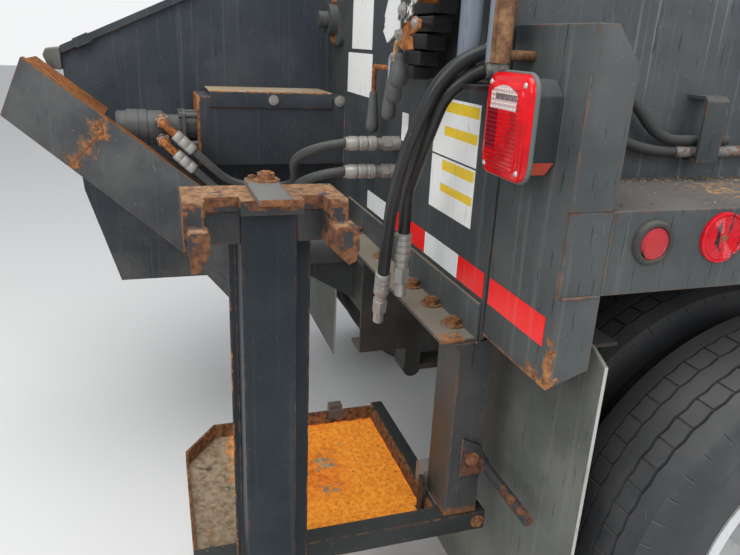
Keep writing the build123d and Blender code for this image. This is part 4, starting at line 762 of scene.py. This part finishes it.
def tyre(name, centre_x, body, node):
    across = tread_outline()
    verts = []
    for pitch in range(pitches):
        for part in station_parts:
            for kind, x, number, rib, zig in across:
                place = pitch + part
                if kind == "wall":
                    radius = number
                    cut = notch_depth if number > notch_from else 0
                else:
                    place += 0.5 * (rib % 2)
                    radius = crown - crown_drop * (x / tread_half) ** 4 - number
                    cut = sipe_depth if kind == "rib" and rib in sipe_ribs else 0
                if part in sipe_stations:
                    radius -= cut
                angle = place / pitches * math.tau
                verts.append(metres(centre_x + x + zig * zig_at(place), axle_y + radius * math.cos(angle),
                                    axle_z + radius * math.sin(angle)))
    count = len(across)
    rows = pitches * len(station_parts)
    faces = []
    for row in range(rows):
        after = (row + 1) % rows
        for step in range(count):
            beside = (step + 1) % count
            faces.append((row * count + step, row * count + beside,
                          after * count + beside, after * count + step))
    mesh = bpy.data.meshes.new(name)
    mesh.from_pydata(verts, [], faces)
    return settle(name, shell_of(mesh), tyre_rubber, "tyre_rubber", node, body=body, sharp=32)


tyre_rubber = finish("tyre_rubber", coat((30, 32, 36), (120, 120, 118), 0.55, 0, 0.3, 0, -0.4, 0.62),
    bump=(0.5, 1))
for side_name, side in both_sides:
    for place_name, place_x in dual_places.items():
        tyre(f"{place_name}_tyre_{side_name}", side * place_x, "wheels_" + side_name, "tyres_" + side_name)

# Rims, hubs and wheel nuts.
# The rims are white-painted dished steel, the hub flange is black, and ten
# nuts hold each pair of discs to the hub.
rim_white = finish("rim_white", coat((680, 690, 700), (330, 320, 290), 0.35, 0.3, 0.2, 0.4, 0.12, 0.35),
    bump=(0.25, 0.6))
dress(rim_white, "wheel_right", "wheel_left")


def new_maker(name, sockets):
    # A Geometry Nodes group: it is given a mesh and a finish, and gives a mesh
    return new_group(name, "GeometryNodeTree", [("Geometry", "Geometry"), *sockets, ("Finish", "Material")],
                     [("Geometry", "Geometry")])


def close_maker(maker, given, made, geometry):
    real = maker.node("GeometryNodeRealizeInstances", {0: geometry})
    painted = maker.node("GeometryNodeSetMaterial", {"Geometry": real, "Material": given["Finish"]})
    maker.wire(painted, made[0])


def mesh_by(maker, mesh, values):
    source = bpy.data.objects.new("source", mesh)
    scene.collection.objects.link(source)
    modifier = source.modifiers.new("maker", "NODES")
    modifier.node_group = maker.tree
    for item in maker.tree.interface.items_tree:
        if item.in_out == "INPUT" and item.name in values:
            modifier[item.identifier] = values[item.name]
    bpy.context.view_layer.update()
    result = bpy.data.meshes.new_from_object(source.evaluated_get(bpy.context.evaluated_depsgraph_get()))
    bpy.data.objects.remove(source)
    return result


bolt, given, made = new_maker("bolts", [
    ("Head Radius", "Float", 0.01), ("Head Height", "Float", 0.007), ("Washer Radius", "Float", 0.015)])


def bolt_disc(vertices, radius, depth, lift):
    disc = bolt.node("GeometryNodeMeshCylinder", {"Vertices": vertices, "Radius": radius, "Depth": depth})
    offset = bolt.node("ShaderNodeCombineXYZ", {"Z": lift})
    return bolt.node("GeometryNodeTransform", {"Geometry": disc, "Translation": offset})


washer_thick = 2.2 / per_metre
head_radius, head_height = given["Head Radius"], given["Head Height"]
head_lift = bolt.plus(bolt.times(head_height, 0.5), washer_thick)
stub_lift = bolt.plus(head_lift, bolt.times(head_height, 0.25))
bolt_parts = bolt.tree.nodes.new("GeometryNodeJoinGeometry")
for part in (
    bolt_disc(18, given["Washer Radius"], washer_thick, washer_thick / 2),
    bolt_disc(6, head_radius, head_height, head_lift),
    bolt_disc(12, bolt.times(head_radius, 0.55), head_height, stub_lift),
):
    bolt.wire(part, bolt_parts.inputs[0])
heading = bolt.node("GeometryNodeInputNamedAttribute", {"Name": "heading"}, data_type="FLOAT_VECTOR")
growth = bolt.node("GeometryNodeInputNamedAttribute", {"Name": "growth"}, data_type="FLOAT")
close_maker(bolt, given, made, bolt.node("GeometryNodeInstanceOnPoints", {
    "Points": given["Geometry"], "Instance": bolt_parts.outputs[0], "Scale": growth,
    "Rotation": bolt.node("FunctionNodeAlignRotationToVector", {"Vector": heading}, axis="Z")}))


def bolts(name, table, material, body, slot, head=11, height=8, washer=17):
    # Table: place, the way that the head looks, how many times the usual size
    mesh = bpy.data.meshes.new(name)
    mesh.from_pydata([metres(*row[0]) for row in table], [], [])
    headings = mesh.attributes.new("heading", "FLOAT_VECTOR", "POINT")
    headings.data.foreach_set("vector", [part for row in table for part in row[1]])
    growths = mesh.attributes.new("growth", "FLOAT", "POINT")
    growths.data.foreach_set("value", [row[2] for row in table])
    head, height, washer = metres(head, height, washer)
    result = mesh_by(bolt, mesh, {
        "Head Radius": head, "Head Height": height, "Washer Radius": washer, "Finish": material})
    return place_piece(bpy.data.objects.new(name, result), body, slot)


nut_circle = 142.9
nut_count = 10
disc_face = 967.5
for side_name, side in both_sides:
    nut_table = []
    for nut in range(nut_count):
        angle = nut * math.tau / nut_count
        nut_y = axle_y + nut_circle * math.cos(angle)
        nut_z = axle_z + nut_circle * math.sin(angle)
        nut_table.append(((side * disc_face, nut_y, nut_z), (side, 0, 0), 1.0))
    bolts("wheel_nuts_" + side_name, nut_table, chassis_paint, "wheels_" + side_name, "frame_black",
          19, 22, 23)

# Bolts on the fixed steelwork.
# Zinc bolts gone brown hold the angle, the step, the bearing, the motor and
# the flaps.
bolt_rust = finish("bolt_rust", rust((300, 130, 50), (120, 55, 30), (200, 190, 170), 3, 0.5),
    bump=(0.4, 0.5))
fixed_bolts = [((x, -1424, 77), up, 1.45) for x in (646, 762, 875, 420, 180)]
fixed_bolts += [((-160, -1418, z), back, 1.1) for z in (729, 621)]
fixed_bolts += [((950, -1358, -368), out, 0.9), ((953, -1388, -200), out, 0.9)]
fixed_bolts += [((974, -980, 500), out, 0.8)]
fixed_bolts += [((side * x, -1289, 120), back, 0.9) for x in (600, 760, 920, 1080) for side in (-1, 1)]
bolts("steelwork_bolts", fixed_bolts, bolt_rust, "rear_end", "rusty_steel")
bolts("plated_bolts", [
    ((-64, -1630, 435), out, 0.9), ((-70, -1420, 435), out, 1.0), ((800, -1545, 628), back, 0.8),
    ((820, -1548, 668), back, 0.8), ((850, -1548, 700), back, 0.8), ((875, -1545, 647), back, 0.6),
], plated, "rear_end", "bright_steel")
bolts("latch_bolts", [
    ((976, -1818, 402), up, 1.0), ((957, -1808, 402), up, 0.5), ((962, -1838, 402), up, 0.45),
], bolt_rust, "cart_lifter", "rusty_steel", 14.5, 10, 22)

# Weld beads.
# The frame is stick-welded, so a rippled bead runs along each joint, painted
# over with the rest.
weld, given, made = new_maker("weld_bead", [("Half Width", "Float", 0.003), ("Ripple", "Float", 0.0025)])
weld_line = weld.node("GeometryNodeMeshToCurve", {"Mesh": given["Geometry"]})
weld_steps = weld.node("GeometryNodeResampleCurve", {
    "Curve": weld_line, "Length": given["Ripple"]}, mode="LENGTH")
ripple_turn, mean_size, ripple_size = 2.2, 0.85, 0.18
weld_wave = weld.sums("SINE", weld.times(weld.node("GeometryNodeInputIndex", {}), ripple_turn))
weld_size = weld.plus(mean_size, weld.times(weld_wave, ripple_size))
weld_ring = {"Resolution": 7, "Radius": given["Half Width"]}
close_maker(weld, given, made, weld.node("GeometryNodeCurveToMesh", {
    "Curve": weld.node("GeometryNodeSetCurveRadius", {"Curve": weld_steps, "Radius": weld_size}),
    "Profile Curve": weld.node("GeometryNodeCurvePrimitiveCircle", weld_ring),
    "Scale": weld.node("GeometryNodeInputRadius", {}), "Fill Caps": True}))


def welds(name, runs, material, body, slot, half_width=3):
    # Runs: each bead's two ends
    mesh = bpy.data.meshes.new(name)
    ends = [metres(*end) for run in runs for end in run]
    mesh.from_pydata(ends, [(2 * run, 2 * run + 1) for run in range(len(runs))], [])
    result = mesh_by(weld, mesh, {"Half Width": half_width / per_metre, "Finish": material})
    return settle(name, shell_of(result), material, slot, body=body, sharp=50)


weld_runs = [
    ((1183, -1322, 255), (1183, -1322, 384)), ((1183, -1396, 249), (1183, -1326, 249)),
    ((962, -1322, 389), (1180, -1322, 389)), ((945, -1396, 150), (945, -1396, 72)),
    ((-258, -1402, 444), (-70, -1402, 444)), ((-68, -1402, 440), (-68, -1402, 240)),
    ((847, -1438, 67), (943, -1438, 67)), ((946, -1436, 67), (946, -1402, 67)),
    ((946, -1411, 66), (946, -1411, 18)), ((946.5, -1410, -152), (946.5, -1410, -246)),
    ((847, -1438, -343), (908, -1438, -343)), ((870, -1402, 553), (985, -1402, 553)),
    ((870, -1402, 890), (1040, -1402, 890)), ((-250, -1402, 232), (-80, -1402, 232)),
]
rib_runs = [((941, rib_y + aside, 580), (941, rib_y + aside, 948))
            for rib_y in (-820, -410) for aside in (-36, 36)]
weld_runs += rib_runs
weld_runs += [((-a[0], *a[1:]), (-b[0], *b[1:])) for a, b in weld_runs[:3] + rib_runs]
welds("steelwork_welds", weld_runs, post_paint, "rear_end", "black_paint")
welds("lifter_welds", [
    ((971, -1867, -780), (971, -1867, 369)), ((971, -1779, -780), (971, -1779, 369)),
    ((990, -1920, 370.5), (1066, -1920, 370.5)), ((990, -1741, 370.5), (1066, -1741, 370.5)),
    ((1037, -1918, 369), (1037, -1869, 369)), ((1037, -1777, 369), (1037, -1743, 369)),
    ((959.5, -1838, 51), (959.5, -1785, 51)), ((959.5, -1842, -28), (959.5, -1842, 48)),
], mast_paint, "cart_lifter", "black_paint")
arm_seam = finish("arm_seam", changed(flaking, light=(200, 85, 35), size=2.5), bump=(0.4, 0.6))
welds("arm_weld", [
    ((-6.2, -2120, 348), (-6.2, -2205, 261)), ((-6.2, -2130, 386), (-6.2, -2118, 350)),
], arm_seam, "container_arm", "rusty_steel", 2.2)

# Litter on the ledges.
# Leaf crumbs and grit have settled on the fender shelves, on the angle and in
# the corners of the step.
litter, given, made = new_maker("litter", [("Density", "Float", 900.0), ("Crumb", "Float", 0.004)])
random_turn = litter.node("FunctionNodeRandomValue", {"Max": (0.5, 0.5, 6.28)}, data_type="FLOAT_VECTOR")
random_size = litter.node("FunctionNodeRandomValue", {
    "Min": (0.25, 0.2, 0.1), "Max": (1.3, 0.8, 0.35), "Seed": 3}, data_type="FLOAT_VECTOR")
close_maker(litter, given, made, litter.node("GeometryNodeInstanceOnPoints", {
    "Points": litter.node("GeometryNodeDistributePointsOnFaces", {
        "Mesh": given["Geometry"], "Density": given["Density"], "Seed": 7}),
    "Instance": litter.node("GeometryNodeMeshIcoSphere", {"Radius": given["Crumb"]}),
    "Rotation": random_turn, "Scale": random_size}))
crumb_brown = finish("crumb_brown", rust((300, 190, 90), (100, 60, 30), (300, 270, 200), 6, 0.7),
    bump=(0.3, 0.5))
# Ledges: name, X from, X to, Y from, Y to, level, crumbs to the square metre, crumb size
for ledge, ledge_x0, ledge_x1, ledge_y0, ledge_y1, ledge_z, density, crumb_radius in [
    ("shelf_right", 944, 1165, -1315, -20, 386.2, 900, 3.5),
    ("shelf_left", -1165, -944, -1315, -20, 386.2, 900, 3.5),
    ("shelf_corner", 943, 985, -1318, -700, 386.2, 9000, 4.5),
    ("angle", 20, 940, -1470, -1410, 77.2, 900, 2.5),
    ("tray", 480, 900, -1945, -1460, -384.8, 700, 2.8),
]:
    ledge_corners = [metres(x, y, ledge_z) for x, y in (
        (ledge_x0, ledge_y0), (ledge_x1, ledge_y0), (ledge_x1, ledge_y1), (ledge_x0, ledge_y1))]
    mesh = bpy.data.meshes.new("litter_" + ledge)
    mesh.from_pydata(ledge_corners, [], [(0, 1, 2, 3)])
    result = mesh_by(litter, mesh, {
        "Density": float(density), "Crumb": crumb_radius / per_metre, "Finish": crumb_brown})
    settle("litter_" + ledge, shell_of(result), crumb_brown, "rusty_steel", sharp=20)

# Tail lamps.
# A moulded red lens held by four screws, its field pressed into small beads
# that catch the light, with a clear window for the plate near its top.
bead, given, made = new_maker("lens_beads", [
    ("Width", "Float", 0.1), ("Height", "Float", 0.12), ("Bead Width", "Float", 0.0042),
    ("Bead Height", "Float", 0.0034), ("Bead Rise", "Float", 0.0017),
    ("Columns", "Int", 30), ("Rows", "Int", 30)])
close_maker(bead, given, made, bead.node("GeometryNodeInstanceOnPoints", {
    "Points": bead.node("GeometryNodeMeshGrid", {
        "Size X": given["Width"], "Size Y": given["Height"], "Vertices X": given["Columns"],
        "Vertices Y": given["Rows"]}),
    "Instance": bead.node("GeometryNodeMeshUVSphere", {"Segments": 8, "Rings": 4, "Radius": 0.5}),
    "Scale": bead.node("ShaderNodeCombineXYZ", {
        "X": given["Bead Width"], "Y": given["Bead Height"], "Z": bead.times(given["Bead Rise"], 2.0)})}))

lamp_x, lamp_z = 1067, 498
lens_back, lens_top, lens_field = -1454, -1463, -1468
window_half, window_low, window_high = 41, 523, 560
field_wide, field_tall, field_columns, field_rows = 88, 112, 12, 17
arch_bend = 7.0
stripe_turn = 2000.0


def lens_colour(name, red, dark, clear, gloss, crack=1.0, **fixed):
    # Red plastic with a clear window and a darker striped band across it
    material, net = new_material(name)
    place = net.where()
    patches = net.spread(net.speckle(place, 18.0, 2.0, 0.5), 0.50, 0.64)
    tone = net.blend(patches, colour(red), colour(dark))
    across, _, height = net.axes(place)
    aside = net.minus(net.sums("ABSOLUTE", across), lamp_x / per_metre)
    arch = net.plus(height, net.times(net.sums("POWER", aside, 2.0), arch_bend))
    arched = net.spread(arch, *metres(window_high - 0.5, window_high), 1.0, 0.0)
    stripes = net.spread(net.sums("SINE", net.times(across, stripe_turn)), -0.2, 0.6)
    barred = net.blend(stripes, colour((50, 40, 40)), colour((300, 220, 210)))
    for mid in (-lamp_x, lamp_x):
        for from_x, to_x, from_z, to_z, shade in (
            (-48, -14, 460, 524, colour((200, 3, 10))),
            (-window_half, window_half, window_low, window_high, colour(clear)),
            (-26, 40, 537.5, 547.5, barred),
        ):
            area = shows(net, (mid + from_x, -1500, from_z, mid + to_x, -1400, to_z, 0.8, 0))
            tone = net.blend(net.times(area, arched), tone, shade)
    cracks = net.spread(net.speckle(place, 9.0, 3.0, 0.6, (1, 6, 1.6)), crack, crack + 0.02)
    tone = net.blend(cracks, tone, colour((20, 8, 8)))
    return shaded(material, net, {"Base Color": tone, "Roughness": gloss, **fixed})


clear_coat = {"Coat Weight": 0.25, "Coat Roughness": 0.05}
lens_red = lens_colour("lens_red", (660, 1, 6), (480, 1, 5), (520, 390, 370), 0.14, **clear_coat)
bead_red = lens_colour("bead_red", (340, 2, 8), (160, 1, 5), (740, 620, 600), 0.10, **clear_coat)
window_red = lens_colour("window_red", (600, 100, 60), (500, 70, 45), (600, 100, 60), 0.3)
screw_steel = finish("screw_steel", coat((620, 610, 580), (400, 380, 340), 0.3, 0, 0.1, 0.1, 0, 0.25),
    bump=(0.2, 0.3), Metallic=0.7)


def rounded_outline(half_wide, half_tall, corner, steps=10):
    points = []
    for quarter, (sign_x, sign_z) in enumerate(((1, 1), (-1, 1), (-1, -1), (1, -1))):
        for step in range(steps + 1):
            angle = math.pi / 2 * (quarter + step / steps)
            points.append((sign_x * (half_wide - corner) + corner * math.cos(angle),
                           sign_z * (half_tall - corner) + corner * math.sin(angle)))
    return points


# Lens section from the rim inwards: inset from the outline, place along Y, corner radius
lens_section = [
    (0, lens_back, 27), (0.4, -1458, 27), (1.8, -1460.5, 26), (4.5, -1462.2, 24),
    (8.5, -1463, 22), (12, -1463.2, 20), (14, -1464, 19), (15.2, -1465.8, 18),
    (17, -1467.2, 17), (20, -1468, 16),
]
screw_outline = [(0, 0), (0, 4.6), (1.2, 4.5), (2.6, 3.4), (3, 1.6), (2.4, 0.8), (1.4, 0)]
# Red window in the chamfered lower edge of the box, lighting the post: X from the lamp, Y, Z
window_corners = [(37.5, -1444, 429.2), (57.8, -1444, 450.5), (57.8, -1404, 450.5), (37.5, -1404, 429.2)]
window_thick = 0.8
for side_name, side in both_sides:
    mid = side * lamp_x
    shell = bmesh.new()
    rings = []
    for inset, place_y, corner in lens_section:
        outline = rounded_outline(68 - inset, 80 - inset, corner)
        rings.append([shell.verts.new(metres(mid + x, place_y, lamp_z + z)) for x, z in outline])
    skin(shell, rings, True)
    settle("tail_lens_" + side_name, shell, lens_red, "red_lens", "tail_lamp_lenses")
    bead_mesh = mesh_by(bead, bpy.data.meshes.new("bead_start"), {
        "Width": field_wide / per_metre, "Height": field_tall / per_metre, "Columns": field_columns,
        "Rows": field_rows, "Finish": bead_red})
    bead_x, bead_y, bead_z = metres(mid, lens_field, lamp_z)
    for vertex in bead_mesh.vertices:
        x, z, rise = vertex.co
        vertex.co = (bead_x + x, bead_y - rise, bead_z + z)
    settle("tail_lens_beads_" + side_name, shell_of(bead_mesh), bead_red, "red_lens")
    shell = bmesh.new()
    for screw_x, screw_z in ((-52, 64), (52, 64), (-52, -64), (52, -64)):
        turned(shell, (mid + screw_x, lens_top + 0.5, lamp_z + screw_z), back, (20, screw_outline))
    settle("tail_lens_screws_" + side_name, shell, screw_steel, "bright_steel")
    shell = bmesh.new()
    rings = []
    for thick in (0, window_thick):
        rings.append([shell.verts.new(metres(side * (lamp_x + x + thick), y, z - thick))
                      for x, y, z in window_corners])
    skin(shell, rings, True)
    settle("tail_lamp_window_" + side_name, shell, window_red, "red_lens")

# Marker lamps and reflectors.
# A faded red lens sits in a rubber ring; the reflector ahead of it is a red
# disc with prism rings, held by one screw through its middle.
marker_red = lens_colour("marker_red", (420, 30, 35), (240, 20, 25), (600, 500, 500), 0.3, 0.57)
reflector_red = lens_colour("reflector_red", (550, 2, 12), (460, 2, 10), (600, 500, 500), 0.2, 0.61,
                            **{"Coat Weight": 0.2, "Coat Roughness": 0.08})
marker_outline = [(0, 0), (0, 26.8), (5.5, 26.8), (7.5, 25.5), (8, 23.5), (6.8, 22.5), (8, 18), (8.8, 10),
                  (9, 0)]
rubber_outline = [(0, 27), (0, 37), (3, 37), (7, 35.5), (9.5, 32.5), (10, 30), (9.2, 28), (7, 27), (0, 27)]
reflector_outline = [(0, 0), (0, 42.5), (5, 42.5), (6.8, 40.8), (7, 38.5), (5.5, 37.5)]
for ring in range(9):
    reflector_outline += [(6.4, 36.5 - ring * 3.3), (5.4, 35 - ring * 3.3)]
reflector_outline += [(6, 6), (6, 0)]
disc_screw_outline = [(0, 0), (0, 6.2), (1.2, 6), (2.6, 4.2), (3, 0)]
# Discs: name, foot out from the middle, Y, Z, sides, outline, finish, slot, sharp angle, nodes replaced
for disc_name, foot, disc_y, disc_z, around, outline, material, slot, sharp, *replaced in [
    ("marker_lens_", 1183, -1244, 334, 48, marker_outline, marker_red, "red_lens", 40,
     "marker_lamp_lenses"),
    ("marker_ring_", 1183, -1244, 334, 48, rubber_outline, chassis_paint, "hose_rubber", 40,
     "marker_lamp_grommets"),
    ("reflector_", 1183, -1107, 337, 56, reflector_outline, reflector_red, "red_lens", 20,
     "side_reflectors"),
    ("reflector_screw_", 1188.8, -1107, 337, 20, disc_screw_outline, bolt_rust, "rusty_steel", 40),
]:
    for side_name, side in both_sides:
        shell = bmesh.new()
        turned(shell, (side * foot, disc_y, disc_z), (side, 0, 0), (around, outline))
        settle(disc_name + side_name, shell, material, slot, *replaced, sharp=sharp)

# Tape and plates.
# The tape is moulded with small prism cells, dulled by dust. The plates are
# printed sheet with their words left off.
white_coat = coat((860, 870, 870), (320, 300, 270), 0.1, 0.25, 0.5, 0, -0.5, 0.22)
white_tape = finish("white_tape", white_coat, bump=(0.15, 0.3))
red_tape = finish("red_tape", changed(white_coat, paint=(840, 8, 6), dust_amount=0.05), bump=(0.15, 0.3))
plate_coat = coat((880, 880, 860), (600, 580, 530), 0.18, 0.3, 0.5, 0, -0.3, 0.35)
plate_bands = [(708, -1410, low, 862, -1390, high, 0.5, 0) for low, high in (
    (484, 506), (436, 456), (364, 386), (318, 336))]
plate_finish = finish("plate_finish", plate_coat,
    (changed(plate_coat, paint=(880, 600, 20), dust_amount=0.1), *plate_bands), bump=(0.1, 0.3))
dress(red_tape, "tape_red")
dress(white_tape, "tape_white")
dress(plate_finish, "blank_plates")

# Hydraulic motor.
# A cast gerotor motor: a round body of four stacked rings clamped by eight
# screws, on a square flange held off the drive box by four posts.
motor_iron = finish("motor_iron", coat((45, 48, 52), (150, 150, 145), 0.35, 0.2, 0.3, 0.25, 0.1, 0.38),
    bump=(0.25, 0.6))
motor_x, motor_y, motor_z = -125, -1858, 343
shell = bmesh.new()
turned(shell, (motor_x, motor_y, motor_z), back, (56, [
    (0, 0), (0, 30), (36, 30), (40, 40), (86, 40), (98, 47.5), (104, 51.5),
    (141, 51.5), (141.5, 50), (143.5, 50), (144, 54), (165, 54.8), (165.5, 53),
    (168, 53), (168.5, 54.8), (199, 54.8), (199.5, 53), (202, 53), (202.5, 50),
    (226, 50), (231, 46), (231, 0)]))
post_outline = [(0, 0), (0, 9), (34, 9), (34, 0)]
post_nut = [(44, 0), (44, 10.5), (53, 10.5), (54, 9), (54, 0)]
for post_x, post_z in ((-42, -42), (-42, 42), (42, -42), (42, 42)):
    turned(shell, (motor_x + post_x, motor_y, motor_z + post_z), back, (20, post_outline), (6, post_nut))
cap_outline = [(0, 0), (0, 6), (8.5, 6), (9, 5), (9, 0)]
cap_reach = 222
screw_count = 8
screw_circle = 43.5
for screw in range(screw_count):
    angle = math.tau * (screw + 0.5) / screw_count
    screw_x, screw_z = motor_x + screw_circle * math.cos(angle), motor_z + screw_circle * math.sin(angle)
    turned(shell, (screw_x, motor_y - cap_reach, screw_z), back, (6, cap_outline))
flange_half = 54
flange_rings = []
for flange_y, flange_in in ((-1892, 0.8), (-1892.8, 0), (-1901.2, 0), (-1902, 0.8)):
    outline = rounded_outline(flange_half - flange_in, flange_half - flange_in, 12, 6)
    flange_rings.append([shell.verts.new(metres(motor_x + x, flange_y, motor_z + z)) for x, z in outline])
skin(shell, flange_rings, True)
settle("motor_casting", shell, motor_iron, "black_paint", "hydraulic_motor")
shell = bmesh.new()
port_nut = [(0, 0), (0, 19), (2, 20.5), (20, 20.5), (22, 18.5), (22, 0)]
port_collar = [(22, 0), (22, 15), (30, 13), (30, 0)]
for elbow_z in elbow_heights:
    turned(shell, (-78, elbow_y, elbow_z), out, (6, port_nut), (24, port_collar))
settle("motor_port_nuts", shell, screw_steel, "bright_steel")
